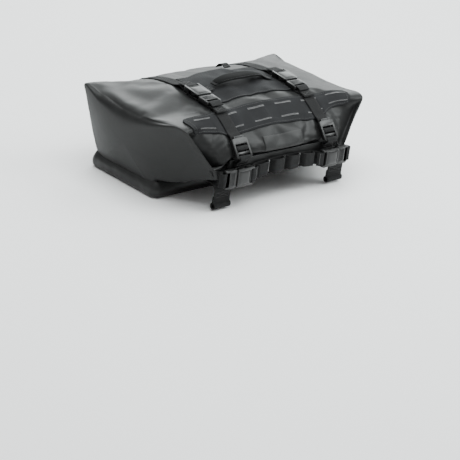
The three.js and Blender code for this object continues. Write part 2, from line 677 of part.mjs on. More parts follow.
// A small loop of webbing behind the handle, open from side to side.
function lashLoop() {
  const path = range(0, 10).map((i) => {
    const lift = 1.2 + 6.2 * Math.sin((Math.PI * i) / 10);
    const t = mix(6.4, 5.95, i / 10);
    const p = surface(2, t).addScaledVector(normal(2, t), lift);
    return [p.y, p.z];
  });
  return ribbon(path, { plane: "yz", centre: 45, wide: 16, thick: 1.4 });
}

// ---------------------------------------------------------------- materials and assembly

const material = (color, roughness) => new THREE.MeshStandardMaterial({ color, roughness, metalness: 0 });
const TARPAULIN = material(0x2b2d2c, 0.5);
const BOOT_SHEET = material(0x232424, 0.55);
const RUBBER_SHEET = material(0x303235, 0.7);
const WEBBING = material(0x1d1e20, 0.85);
const PLASTIC = material(0x222325, 0.4);
const BOARD_PLASTIC = material(0x3a3c3c, 0.6);

const bag = new THREE.Group();
function add(name, geometry, look, parent = bag) {
  const mesh = new THREE.Mesh(geometry, look);
  mesh.name = name;
  parent.add(mesh);
}

function addBuckle(name, position, rotation) {
  const g = new THREE.Group();
  g.position.set(...position);
  g.rotation.set(...rotation);
  add(name + "_female", femaleHalf(), PLASTIC, g);
  add(name + "_male", maleHalf(), PLASTIC, g);
  add(name + "_arm_a", springArm(1), PLASTIC, g);
  add(name + "_arm_b", springArm(-1), PLASTIC, g);
  bag.add(g);
}

add("body_shell", bodyShell(), TARPAULIN);
add("base_boot", baseBoot(), BOOT_SHEET);
add("base_board", baseBoard(), BOARD_PLASTIC);
add("closure_roll", closureRoll(), TARPAULIN);
add("closure_stiffener", closureStiffener(), BOARD_PLASTIC);
add("molle_panel", mollePanel(), RUBBER_SHEET);
add("handle_panel", handlePanel(), RUBBER_SHEET);
add("label_patch", labelPatch(), RUBBER_SHEET);
add("closure_webbing", closureWebbing(), WEBBING);
add("daisy_chain", daisyWebbing(), WEBBING);
add("handle_webbing", handleWebbing(), WEBBING);
add("handle_grip", handleGrip(), RUBBER_SHEET);
add("top_lash_loop", lashLoop(), WEBBING);

for (const [side, name] of [[-1, "left"], [1, "right"]]) {
  const x = side * STRAP_X;
  add(name + "_gusset_fold", gussetFold(side), TARPAULIN);
  add(name + "_handle_anchor", handleAnchor(side), RUBBER_SHEET);
  add(name + "_rear_strap", rearStrap(x), WEBBING);
  add(name + "_front_strap_upper", frontStrapUpper(x), WEBBING);
  add(name + "_front_strap", frontStrap(x, "fixed"), WEBBING);
  add(name + "_front_strap_end", frontStrap(x, "end"), WEBBING);
  add(name + "_anchor_tab", anchorTab(x), WEBBING);
  for (const [place, mount] of [["front", FRONT_MOUNT], ["rear", REAR_MOUNT]]) {
    add(`${name}_${place}_mount_seam`, mountStrap(side * MOUNT_X, mount, "sewn"), WEBBING);
    add(`${name}_${place}_mount_strap`, mountStrap(side * MOUNT_X, mount, "swinging"), WEBBING);
  }
  add(name + "_wing_tab", wingTab(side), WEBBING);
  addBuckle(name + "_strap_buckle", [x, STRAP_MOUTH.y, STRAP_MOUTH.z], [STRAP_MOUTH.pitch, 0, Math.PI / 2]);

  const lock = new THREE.Group();
  lock.position.set(x, LOCK.y, LOCK.z);
  lock.rotation.set(LOCK.slope, 0, Math.PI / 2);
  add(name + "_ladder_lock", ladderLock(), PLASTIC, lock);
  bag.add(lock);
}
const closureTurn = { left: [Math.PI / 2, 0, 0], right: [-Math.PI / 2, Math.PI, 0] };
for (const [side, name] of [[-1, "left"], [1, "right"]]) {
  const mouth = [side * CLOSURE_MOUTH.x, CLOSURE_MOUTH.y, CLOSURE_MOUTH.z];
  addBuckle(name + "_closure_buckle", mouth, closureTurn[name]);
}

export default bag;
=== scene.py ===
import math

import bmesh
import bpy
import numpy as np
from mathutils import Euler, Matrix, Vector, noise
from mathutils.bvhtree import BVHTree


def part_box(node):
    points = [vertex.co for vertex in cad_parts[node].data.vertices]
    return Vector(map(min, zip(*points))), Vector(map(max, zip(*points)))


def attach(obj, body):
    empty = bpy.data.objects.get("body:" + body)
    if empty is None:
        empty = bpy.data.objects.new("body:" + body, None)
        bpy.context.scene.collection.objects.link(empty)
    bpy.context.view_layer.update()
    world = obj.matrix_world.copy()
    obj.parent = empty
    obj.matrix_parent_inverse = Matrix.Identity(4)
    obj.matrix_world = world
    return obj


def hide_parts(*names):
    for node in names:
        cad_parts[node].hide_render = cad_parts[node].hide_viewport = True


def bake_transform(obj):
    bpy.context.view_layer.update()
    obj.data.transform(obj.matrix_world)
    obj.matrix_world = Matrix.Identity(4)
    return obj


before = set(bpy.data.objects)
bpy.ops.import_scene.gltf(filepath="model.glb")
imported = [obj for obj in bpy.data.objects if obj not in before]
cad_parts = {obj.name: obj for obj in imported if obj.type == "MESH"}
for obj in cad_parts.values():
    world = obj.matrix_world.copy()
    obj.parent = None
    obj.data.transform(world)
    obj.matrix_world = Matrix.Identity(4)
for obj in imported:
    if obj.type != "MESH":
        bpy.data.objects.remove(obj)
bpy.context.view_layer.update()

# Sizes below are in millimetres, in the frame of the CAD model. MM turns them into metres.
MM = 0.001
SIDES = ((-1, "left"), (1, "right"))

# ---------------------------------------------------------------- camera, light and floor


def look(obj, location, target, roll=0.0):
    """Aims a camera or a light, with its picture turned by roll."""
    obj.location = Vector(location) * MM
    aim = (Vector(target) - Vector(location)).to_track_quat("-Z", "Y").to_matrix()
    obj.rotation_euler = (aim @ Matrix.Rotation(roll, 3, "Z")).to_euler()
    bpy.context.scene.collection.objects.link(obj)


def make_camera():
    data = bpy.data.cameras.new("camera")
    data.lens, data.sensor_width = 123.5, 36
    data.clip_start, data.clip_end = 0.05, 60
    camera = bpy.data.objects.new("camera", data)
    look(camera, (-1878.4, -1929.2, 1024.7), (-11.7, -75.9, -102.5), math.radians(7.37))
    bpy.context.scene.camera = camera


def softbox(name, location, size, watts, target=(0, 0, 90)):
    data = bpy.data.lights.new(name, "AREA")
    data.shape, data.size, data.size_y = "RECTANGLE", size[0] * MM, size[1] * MM
    data.energy, data.color = watts, (0.95, 1.0, 1.0)
    look(bpy.data.objects.new(name, data), location, target)


def make_world():
    world = bpy.data.worlds.new("studio")
    bpy.context.scene.world = world
    world.use_nodes = True
    nodes, links = world.node_tree.nodes, world.node_tree.links
    coords = nodes.new("ShaderNodeTexCoord")
    split = nodes.new("ShaderNodeSeparateXYZ")
    ramp = nodes.new("ShaderNodeValToRGB")
    links.new(coords.outputs["Generated"], split.inputs[0])
    links.new(split.outputs["Z"], ramp.inputs[0])
    ramp.color_ramp.elements[0].position, ramp.color_ramp.elements[0].color = 0.0, (0.3, 0.3, 0.3, 1)
    ramp.color_ramp.elements[1].position, ramp.color_ramp.elements[1].color = 0.8, (1, 1, 1, 1)
    links.new(ramp.outputs[0], nodes["Background"].inputs[0])
    nodes["Background"].inputs[1].default_value = 0.75


make_camera()
make_world()
softbox("overhead", (-100, 0, 2300), (2600, 2000), 100)
softbox("behind", (1500, 1800, 1150), (2600, 1300), 54)
softbox("right", (2000, -1200, 1900), (1600, 1600), 60)

# ---------------------------------------------------------------- materials


class Graph:
    """A material's nodes. Each call adds a node, links or sets its inputs, and returns its output."""

    def __init__(self, name):
        self.material = bpy.data.materials.new(name)
        self.material.use_nodes = True
        self.tree = self.material.node_tree
        self.shader = self.tree.nodes["Principled BSDF"]

    def node(self, kind, inputs=(), output=0, **settings):
        made = self.tree.nodes.new("ShaderNode" + kind)
        for key, value in settings.items():
            setattr(made, key, value)
        for key, value in dict(inputs).items():
            self.feed(made.inputs[key], value)
        return made.outputs[output]

    def feed(self, socket, value):
        if isinstance(value, bpy.types.NodeSocket):
            self.tree.links.new(value, socket)
        else:
            socket.default_value = value

    def math(self, operation, a, b=0.0, c=0.0):
        return self.node("Math", {0: a, 1: b, 2: c}, operation=operation)

    def noise(self, scale, detail=3.0, rough=0.5):
        inputs = {"Vector": self.millimetres(), "Scale": scale, "Detail": detail, "Roughness": rough}
        return self.node("TexNoise", inputs)

    def millimetres(self):
        coords = self.node("TexCoord", output=3)
        return self.node("VectorMath", {0: coords, 1: (1000, 1000, 1000)}, operation="MULTIPLY")

    def fabric_uv(self):
        """The two lengths, in millimetres, that give a place on the flat cloth."""
        return [self.node("SeparateXYZ", {0: self.node("UVMap", uv_map="cloth")}, i) for i in (0, 1)]

    def wave(self, coordinate, period, phase=0.0):
        return self.math("SINE", self.math("MULTIPLY_ADD", coordinate, 2 * math.pi / period, phase))

    def span(self, value, low, high, to_low, to_high):
        return self.node("MapRange", {0: value, 1: low, 2: high, 3: to_low, 4: to_high})

    def blend(self, share, a, b):
        return self.node("MixRGB", {0: share, 1: a, 2: b})

    def mottle(self, clouds, dark, light):
        """Two colours mixed in wide soft patches."""
        return self.blend(self.span(clouds, 0.3, 0.7, 0, 1), dark, light)

    def bump(self, height, distance, strength=1.0, normal=None):
        inputs = {"Height": height, "Distance": distance * MM, "Strength": strength}
        if normal is not None:
            inputs["Normal"] = normal
        return self.node("Bump", inputs)

    def finish(self, color, roughness, normal, **constants):
        self.feed(self.shader.inputs["Base Color"], color)
        self.feed(self.shader.inputs["Roughness"], roughness)
        self.feed(self.shader.inputs["Normal"], normal)
        for key, value in constants.items():
            self.shader.inputs[key.replace("_", " ")].default_value = value
        return self.material


def grey(value, tint=(1, 1, 1)):
    return (value * tint[0], value * tint[1], value * tint[2], 1)


def tarpaulin(name, base, satin, shine=0.5):
    """PVC-coated polyester: the scrim shows faintly through a satin skin with a pebbled grain."""
    g = Graph(name)
    u, v = g.fabric_uv()
    scrim = g.math("MULTIPLY", g.wave(u, 1.7), g.wave(v, 1.7))
    grain = g.noise(0.9, 2)
    clouds = g.noise(0.012, 4, rough=0.6)
    scuff = g.span(g.noise(0.35, 5, rough=0.7), 0.6, 0.8, 0, 1)
    # Wear: convex edges and folds of the sheet are rubbed paler.
    pale_edges = g.span(g.node("NewGeometry", output=7), 0.52, 0.6, 0, 0.6)
    color = g.mottle(clouds, grey(base * 0.82, (1, 1.02, 1.01)), grey(base * 1.2, (1, 1.03, 1.02)))
    color = g.blend(g.math("MULTIPLY", scuff, 0.25), color, grey(base * 2.0))
    color = g.blend(pale_edges, color, grey(base * 2.2))
    satin = g.span(clouds, 0.3, 0.7, satin - 0.05, satin + 0.07)
    rough = g.math("ADD", satin, g.math("MULTIPLY", scuff, 0.06))
    low = g.bump(g.noise(0.03, 3), 1.2, 0.35)
    fine = g.bump(g.math("ADD", g.math("MULTIPLY", scrim, 0.3), grain), 0.05, 0.5, low)
    return g.finish(color, rough, fine, Specular_IOR_Level=shine)


def rubber_sheet():
    """Rubber-coated reinforcement: matt, with a close woven print. Cut edges marked by an edge attribute are
    painted pale: partly the rubber's cut core, partly a painted highlight where the cut lip catches the
    light.
    """
    g = Graph("rubber_sheet")
    u, v = g.fabric_uv()
    print_ = g.math("MULTIPLY", g.wave(g.math("ADD", u, v), 1.1), g.wave(g.math("SUBTRACT", u, v), 1.1))
    speck = g.noise(1.6, 3)
    clouds = g.noise(0.02, 4)
    color = g.mottle(clouds, grey(0.011, (1, 1.03, 1.1)), grey(0.016, (1, 1.03, 1.1)))
    color = g.blend(g.span(speck, 0.45, 0.75, 0, 0.35), color, grey(0.03, (1, 1, 1.05)))
    # Painted highlight, partly the cut core's own colour: where the edge attribute is set, the colour is
    # mixed towards pale grey.
    edge = g.node("Attribute", output=2, attribute_name="edge")
    color = g.blend(g.math("MULTIPLY", edge, g.span(speck, 0.2, 0.6, 0.55, 1)), color, grey(0.34))
    normal = g.bump(g.math("ADD", g.math("MULTIPLY", print_, 0.5), speck), 0.07, 0.6)
    return g.finish(color, g.span(speck, 0.2, 0.8, 0.62, 0.78), normal, Specular_IOR_Level=0.1)


def webbing():
    """Nylon webbing: fine ribs in a shallow herringbone."""
    g = Graph("webbing")
    u, v = g.fabric_uv()
    zigzag = g.math("PINGPONG", u, 3.1)
    rib = g.wave(g.math("ADD", v, g.math("MULTIPLY", zigzag, 0.7)), 1.9)
    cross = g.wave(u, 1.25)
    fuzz = g.noise(2.2, 4, rough=0.7)
    height = g.math("ADD", g.math("MULTIPLY", rib, 0.5), g.math("MULTIPLY", cross, 0.3))
    clouds = g.noise(0.05, 3)
    color = g.blend(g.span(height, -0.6, 0.7, 0, 1), grey(0.004), grey(0.012, (1, 1.02, 1.05)))
    color = g.blend(g.span(clouds, 0.35, 0.75, 0, 0.4), color, grey(0.018))
    color = g.blend(g.span(fuzz, 0.62, 0.8, 0, 0.4), color, grey(0.035))
    normal = g.bump(g.math("ADD", height, fuzz), 0.22, 0.8)
    rough = g.span(fuzz, 0.2, 0.8, 0.66, 0.85)
    sheen = {"Sheen_Weight": 0.03, "Sheen_Roughness": 0.5}
    return g.finish(color, rough, normal, Specular_IOR_Level=0.16, **sheen)


def plastic(name, base, rough):
    """Moulded plastic with a light spark-eroded texture, and a painted highlight: paler along its convex
    edges, where they catch the light.
    """
    g = Graph(name)
    spark = g.noise(2.4, 3)
    clouds = g.noise(0.06, 4)
    # Painted highlight: convex edges, found by pointiness, are mixed towards a paler grey.
    pale_edges = g.span(g.node("NewGeometry", output=7), 0.53, 0.62, 0, 0.8)
    color = g.mottle(clouds, grey(base * 0.85), grey(base * 1.2))
    color = g.blend(pale_edges, color, grey(base * 3.5))
    scratch = g.span(g.noise(0.5, 6, rough=0.75), 0.6, 0.72, 0, 0.12)
    rough = g.math("ADD", g.span(clouds, 0.3, 0.7, rough - 0.05, rough + 0.06), scratch)
    return g.finish(color, rough, g.bump(spark, 0.03, 0.5), Specular_IOR_Level=0.4)


def thread():
    g = Graph("thread")
    twist = g.noise(3.0, 2)
    color = g.blend(twist, grey(0.02), grey(0.07))
    return g.finish(color, g.span(twist, 0.2, 0.8, 0.5, 0.7), g.bump(twist, 0.08, 0.6))


def floor_paper():
    g = Graph("floor_paper")
    tone = g.noise(0.004, 3)
    color = g.blend(tone, grey(0.88), grey(0.91))
    return g.finish(color, g.span(tone, 0.3, 0.7, 0.85, 0.92), g.bump(g.noise(0.8, 2), 0.02, 0.3))


TARPAULIN = tarpaulin("tarpaulin", 0.013, 0.41, 0.22)
BOOT_SHEET = tarpaulin("boot_sheet", 0.011, 0.4, 0.35)
RUBBER = rubber_sheet()
WEBBING = webbing()
PLASTIC = plastic("buckle_plastic", 0.005, 0.33)
BOARD = plastic("board_plastic", 0.05, 0.5)
THREAD = thread()

# ---------------------------------------------------------------- mesh helpers


class Piece:
    """Points, faces, places on the flat cloth and materials, gathered into one mesh object."""

    def __init__(self):
        self.verts, self.faces, self.uv, self.looks, self.look = [], [], [], [], []

    def add(self, verts, faces, material, uv=None):
        verts = np.asarray(verts, float).reshape(-1, 3)
        base = len(self.verts)
        self.verts.extend(verts)
        self.faces.extend([tuple(base + int(i) for i in f) for f in faces])
        self.uv.extend(verts[:, :2] if uv is None else np.asarray(uv, float).reshape(-1, 2))
        if material not in self.looks:
            self.looks.append(material)
        self.look.extend([self.looks.index(material)] * len(faces))
        return self

    def build(self, name, bevel=0.0, subdivide=0):
        mesh = bpy.data.meshes.new(name)
        mesh.from_pydata([tuple(v * MM) for v in self.verts], [], self.faces)
        for material in self.looks:
            mesh.materials.append(material)
        mesh.polygons.foreach_set("material_index", self.look)
        mesh.polygons.foreach_set("use_smooth", [True] * len(self.faces))
        layer = mesh.uv_layers.new(name="cloth")
        corner = np.array([loop.vertex_index for loop in mesh.loops])
        layer.data.foreach_set("uv", np.array(self.uv, np.float32)[corner].ravel())
        mesh.update()
        obj = bpy.data.objects.new(name, mesh)
        bpy.context.scene.collection.objects.link(obj)
        if bevel:
            add_bevel(obj, bevel)
        if subdivide:
            obj.modifiers.new("smooth", "SUBSURF").levels = subdivide
        return apply_modifiers(obj) if obj.modifiers else obj


def add_bevel(obj, width, angle=40):
    bevel = obj.modifiers.new("bevel", "BEVEL")
    bevel.width, bevel.segments, bevel.limit_method = width * MM, 2, "ANGLE"
    bevel.angle_limit, bevel.use_clamp_overlap = math.radians(angle), True


def grid_faces(rows, columns, wrap=False):
    """Quads of a grid of points, row by row. wrap joins each row's last point to its first."""
    faces = []
    for r in range(rows - 1):
        for c in range(columns if wrap else columns - 1):
            here, there = r * columns + c, r * columns + (c + 1) % columns
            faces.append((here, here + columns, there + columns, there))
    return faces


def end_faces(rows, columns):
    """The two flat ends of a tube made of rings."""
    return [tuple(range(columns)), tuple((rows - 1) * columns + c for c in reversed(range(columns)))]


def run_along(points):
    """The length run along a line of points, at each of them."""
    return np.cumsum(np.r_[0, np.linalg.norm(np.diff(points, axis=0), axis=1)])


def at_run(line, run, where):
    """What a line of points or directions holds at a length along it."""
    return np.array([np.interp(where, run, line[:, i]) for i in range(3)])


def cloth_places(down, across):
    """Places on the flat cloth for a grid of points, from the lengths down and across it."""
    return np.stack(np.broadcast_arrays(down[:, None], across[None]), -1)


def apply_modifiers(obj):
    """Puts what the modifiers make into the mesh itself."""
    bpy.context.view_layer.update()
    final = bpy.data.meshes.new_from_object(obj.evaluated_get(bpy.context.evaluated_depsgraph_get()))
    obj.modifiers.clear()
    obj.data = final
    return obj


def settle(obj, body, slot, *nodes):
    """Ties a finished piece to its body, in place of the CAD nodes named. slot is not used."""
    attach(obj, body)
    if nodes:
        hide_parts(*nodes)
    return obj


def smoothstep(low, high, value):
    t = np.clip((np.asarray(value, float) - low) / (high - low), 0, 1)
    return t * t * (3 - 2 * t)


def fractal(points, size, octaves=3, seed=0.0):
    """Smooth noise from -1 to 1 at points in millimetres, with features of about size."""
    offset = Vector((seed * 7.3, seed * 3.1, seed * 5.7))
    return np.array([noise.fractal(Vector(p) / size + offset, 0.8, 2.1, octaves) for p in points])


# ---------------------------------------------------------------- the bag's skin

# Points round the bag's section, from the bottom rear, up the back, over the top, down the front to
# the rolled mouth, and back under the overhang: (y, z) at the middle, (y, z) under a strap, (y, z) at
# the end, and the half length there.
SECTION = (
    ((75, 8), (75, 8), (75, 8), 202),
    ((81, 30), (81, 30), (84, 30), 211),
    ((92, 52), (90, 52), (90, 50), 215.5),
    ((103, 88), (100, 86), (97.5, 84), 220.5),
    ((107, 124), (103, 120), (103.5, 116), 225.5),
    ((96, 145), (94, 142), (107, 147), 229.5),
    ((62, 158), (60, 155.5), (70, 146), 233),
    ((5, 167), (5, 162), (0, 144), 234),
    ((-60, 164), (-60, 156.5), (-70, 143), 233),
    ((-104.5, 152), (-101, 149), (-144, 144), 216),
    ((-138, 131), (-132, 130), (-153, 116), 193),
    ((-161, 109), (-156, 110), (-162, 88), 173),
    ((-171, 89), (-169, 92), (-171, 58), 153),
    ((-150, 84), (-150, 84), (-157, 51), 161),
    ((-142, 48), (-142, 48), (-142, 46), 171),
    ((-112, 38), (-112, 38), (-113, 37), 191),
    ((-81, 30), (-81, 30), (-84, 30), 211),
    ((-75, 8), (-75, 8), (-75, 8), 202),
)
LAST = len(SECTION) - 1
STRAP_X = 105
STRAP_FROM, STRAP_TO = 88, 122
STRAP_REACH = 15  # how far from a strap's middle it still holds the skin down
END_CENTRE = np.array([221.0, -12.0, 82.0])
END_SWELL = 0.0016  # curvature an end panel is blown out to, 1/mm
CAP_SHARES = (0.02, 0.045, 0.08, 0.125, 0.18, 0.25, 0.33, 0.42, 0.52, 0.63, 0.75, 0.87, 0.97)
CAP_RINGS = len(CAP_SHARES)
REAR_TOP, CREST, FRONT_TOP, HEM, BELOW_HEM = 5, 7, 9, 12, 13  # values of t with a name


def spline(points, ts):
    """Centripetal Catmull-Rom through points, at ts counted in points."""
    points = np.asarray(points, float)
    points = np.vstack([2 * points[0] - points[1], points, 2 * points[-1] - points[-2]])
    ts = np.atleast_1d(np.asarray(ts, float))
    k = np.clip(np.floor(ts).astype(int), 0, len(points) - 4)
    f = (ts - k)[:, None]
    p0, p1, p2, p3 = (points[k + i] for i in range(4))

    def knot(a, b):
        return np.maximum(np.sqrt(np.linalg.norm(b - a, axis=1)), 1e-4)[:, None]

    d1, d2, d3 = knot(p0, p1), knot(p1, p2), knot(p2, p3)
    m1 = ((p1 - p0) / d1 - (p2 - p0) / (d1 + d2) + (p2 - p1) / d2) * d2
    m2 = ((p2 - p1) / d2 - (p3 - p1) / (d2 + d3) + (p3 - p2) / d3) * d2
    a, b = 2 * p1 - 2 * p2 + m1 + m2, -3 * p1 + 3 * p2 - 2 * m1 - m2
    return ((a * f + b) * f + m1) * f + p1


class Section:
    """The three columns of SECTION and the half length, at many values of t at once."""

    def __init__(self, ts):
        self.ts = np.asarray(ts, float)
        self.mid, self.strap, self.end = (spline([row[i] for row in SECTION], ts) for i in range(3))
        self.half = spline([(row[3], 0) for row in SECTION], ts)[:, 0]

    def at_x(self, x):
        """Points at one x between the straps, or under one."""
        share = smoothstep(0, 1, min(abs(x) / STRAP_FROM, 1) ** 2)
        yz = self.mid * (1 - share) + self.strap * share
        return np.column_stack([np.full(len(self.ts), float(x)), yz])

    def outer(self, side, v):
        """Points at a share v of the way from the strap to the end of the bag."""
        v = np.broadcast_to(v, self.half.shape)
        share = smoothstep(0, 1, v)[:, None]
        yz = self.strap * (1 - share) + self.end * share
        x = side * (STRAP_TO + (self.half - STRAP_TO) * v)
        return np.column_stack([x, yz])


def unit(v):
    return v / np.maximum(np.linalg.norm(v, axis=-1, keepdims=True), 1e-9)


def ring_normals(rings):
    """Outward normals of a grid of rings, which run from left to right."""
    across = np.gradient(rings, axis=0)
    along = np.gradient(rings, axis=1)
    return unit(np.cross(along, across))


# How the front sinks behind each wing: the share of its depth, against the share v of the way out.
WING_THICK = 3.0
RIM_STRIP = 6.0  # the last rings before an end follow WING_EDGE
WING_DEPTH = {-1: 24.0, 1: 9.0}
WING_EDGE = ((4.6, 1.0), (3.7, 0.55), (WING_THICK, 0.06), (1.5, -0.05), (0.0, 0.04))


def skin_rings():
    """The bag's outline as rings from the middle of one end to the middle of the other."""
    steps = [np.linspace(k, k + 1, 9, endpoint=False) for k in range(LAST)]
    ts = np.concatenate([*steps, [LAST]])
    section = Section(ts)
    inner = [*np.arange(0, STRAP_FROM, 5.5), *np.linspace(STRAP_FROM, STRAP_TO, 8)]
    outward = np.linspace(0, 1, 18)[1:]
    wing = smoothstep(FRONT_TOP + 0.1, FRONT_TOP + 0.7, ts) * (1 - smoothstep(HEM + 0.1, BELOW_HEM, ts))
    halves = []
    for side in (-1, 1):
        rings = [section.at_x(side * x) for x in inner if x > 0 or side > 0]
        to_edge = 1 - RIM_STRIP / (section.half - STRAP_TO)
        rings += [section.outer(side, v * to_edge) for v in outward]
        rim = section.outer(side, 1)
        tangent = unit(section.outer(side, 0.9) - rim)
        rings += [rim + tangent * a for a, _ in WING_EDGE]
        grid = np.array(rings)
        normals = ring_normals(grid) * side
        count = len(rings) - len(WING_EDGE)
        depth = np.zeros(len(rings))
        first = len(rings) - len(WING_EDGE) - len(outward)
        depth[first:count] = 0.2 * smoothstep(0.1, 0.7, outward) + 0.8 * smoothstep(0.56, 0.96, outward)
        depth[count:] = [d for _, d in WING_EDGE]
        normals[count:] = normals[count - 4]
        grid -= normals * (depth[:, None] * wing[None])[..., None] * WING_DEPTH[side]
        centre = END_CENTRE * (side, 1, 1)
        cap = np.array([grid[-1] * (1 - q) + centre * q for q in CAP_SHARES])
        halves.append(np.vstack([grid, even_cap(cap, grid[-1], side)]))
    rings = np.vstack([halves[0][::-1], halves[1]])
    return rings, ts


def even_cap(points, rim, side):
    """Sets x over an end panel: stretched smoothly over its rim, and blown out a little.

    The shares are mean value coordinates in the panel's rim.
    """
    corners = rim[:, 1:]
    flat = points[..., 1:].reshape(-1, 2)
    to = corners[None] - flat[:, None]
    far = np.linalg.norm(to, axis=2)
    after, far_after = np.roll(to, -1, 1), np.roll(far, -1, 1)
    turn = to[..., 0] * after[..., 1] - to[..., 1] * after[..., 0]
    tan_half = (far * far_after - (to * after).sum(axis=2)) / np.where(np.abs(turn) < 1e-9, 1e-9, turn)
    share = (tan_half + np.roll(tan_half, 1, 1)) / np.maximum(far, 1e-6)
    share /= share.sum(axis=1, keepdims=True)
    full = share @ (corners**2).sum(axis=1) - (flat**2).sum(axis=1)
    points[..., 0] = (share @ rim[:, 0] + side * END_SWELL * full).reshape(points.shape[:-1])
    return points


def round_ends(rings, ts):
    """Rounds the crease round each end, most along the top, and not along the wings' free edges."""
    wing = smoothstep(FRONT_TOP - 0.1, FRONT_TOP + 0.3, ts) * (1 - smoothstep(HEM + 0.2, HEM + 1.2, ts))
    corner = np.exp(-(((ts - REAR_TOP) / 0.3) ** 2)) + np.exp(-(((ts - FRONT_TOP) / 0.4) ** 2))
    top = smoothstep(REAR_TOP, REAR_TOP + 0.9, ts) * (1 - smoothstep(FRONT_TOP - 0.9, FRONT_TOP, ts))
    reach = (11 + 17 * top) * (1 - wing) * (1 - 0.75 * corner)
    for path in (rings[: CAP_RINGS + 16], rings[::-1][: CAP_RINGS + 16]):
        for c, far in enumerate(reach):
            if far < 0.5:
                continue
            line = path[:, c].copy()
            run = run_along(line)
            run -= run[CAP_RINGS]
            a, b = (at_run(line, run, at) for at in (-far, far))
            inside = np.abs(run) < far
            share = ((run[inside] + far) / (2 * far))[:, None]
            path[inside, c] = (1 - share) ** 2 * a + 2 * share * (1 - share) * line[CAP_RINGS] + share**2 * b
    return rings


def wrinkle(rings, ts):
    """Soft folds: slack beside the straps, pulls towards the corners, and creases above the boot."""
    normals = ring_normals(rings)
    shape = rings.shape[:2]
    points = rings.reshape(-1, 3)
    x, y, z = (rings[..., i] for i in range(3))
    t = np.broadcast_to(ts, shape)
    rows = np.arange(shape[0])
    past_rim = CAP_RINGS - np.minimum(rows, shape[0] - 1 - rows)
    flat_end = (1 - smoothstep(0, 4, past_rim))[:, None]
    soft = fractal(points * (1, 1, 1.3), 95, 2, 1).reshape(shape) * (0.35 + 0.65 * flat_end)
    warp = fractal(points, 60, 2, 2).reshape(shape)
    fold_lines = np.abs(np.sin((np.abs(x) * 0.03 + y * 0.055 + z * 0.035) + 2.2 * warp))
    folds = (1 - fold_lines) ** 3
    off_strap = np.abs(x) - STRAP_X
    beside = np.exp(-((off_strap / 34) ** 2)) * (1 - np.exp(-((off_strap / STRAP_REACH) ** 4)))
    top = smoothstep(REAR_TOP - 1, REAR_TOP + 1, t) * (1 - smoothstep(HEM - 1, HEM, t))
    sides = smoothstep(0.9, 2.2, t) * (1 - smoothstep(4, 5, t))
    puff = 3.2 * beside * (top + 0.6 * sides)
    puckers = np.abs(np.sin(t * 9 + 1.7 * warp + np.sign(x))) * beside
    low = np.exp(-(((z - 36) / 12) ** 2))
    hem = np.exp(-(((t - HEM + 0.4) / 0.5) ** 2)) * (np.abs(x) < 160)
    offset = 1.5 * soft + puff - 1.3 * puckers * top
    offset += -1.8 * folds * (0.35 + low + 0.8 * beside * top) * flat_end
    offset += 1.6 * hem * np.sin(x * 0.075 + 1.3 * warp)
    free = smoothstep(0.7, 1.4, t) * (1 - smoothstep(15.6, 16.4, t))
    strapped = 1 - np.exp(-((off_strap / STRAP_REACH) ** 6)) * 0.9
    return rings + normals * (offset * free * strapped)[..., None]


TOP_COLUMN = 60  # a column of the rings that runs along the bag's top


def make_skin():
    rings, ts = skin_rings()
    rings = wrinkle(round_ends(rings, ts), ts)
    count, columns = rings.shape[:2]
    verts = rings.reshape(-1, 3)
    faces = grid_faces(count, columns, wrap=True)
    for row, side in ((0, -1), (count - 1, 1)):
        verts = np.vstack([verts, rings[row].mean(axis=0)])
        hub = len(verts) - 1
        for c in range(columns):
            a, b = row * columns + c, row * columns + (c + 1) % columns
            faces.append((hub, a, b) if side < 0 else (hub, b, a))
    uv = cloth_places(run_along(rings[:, TOP_COLUMN]), run_along(rings[count // 2]))
    for cap in (slice(0, CAP_RINGS), slice(count - CAP_RINGS, count)):
        uv[cap] = rings[cap][..., 1:]
    uv = np.vstack([uv.reshape(-1, 2), verts[-2:, 1:]])
    return Piece().add(verts, faces, TARPAULIN, uv).build("bag_skin"), ts


skin, SKIN_TS = make_skin()


CLOTH_CAP = 3.5
CLOTH_FRAMES = 18
LEAST_HELD = 0.25  # how firmly the cloth is held where nothing touches it


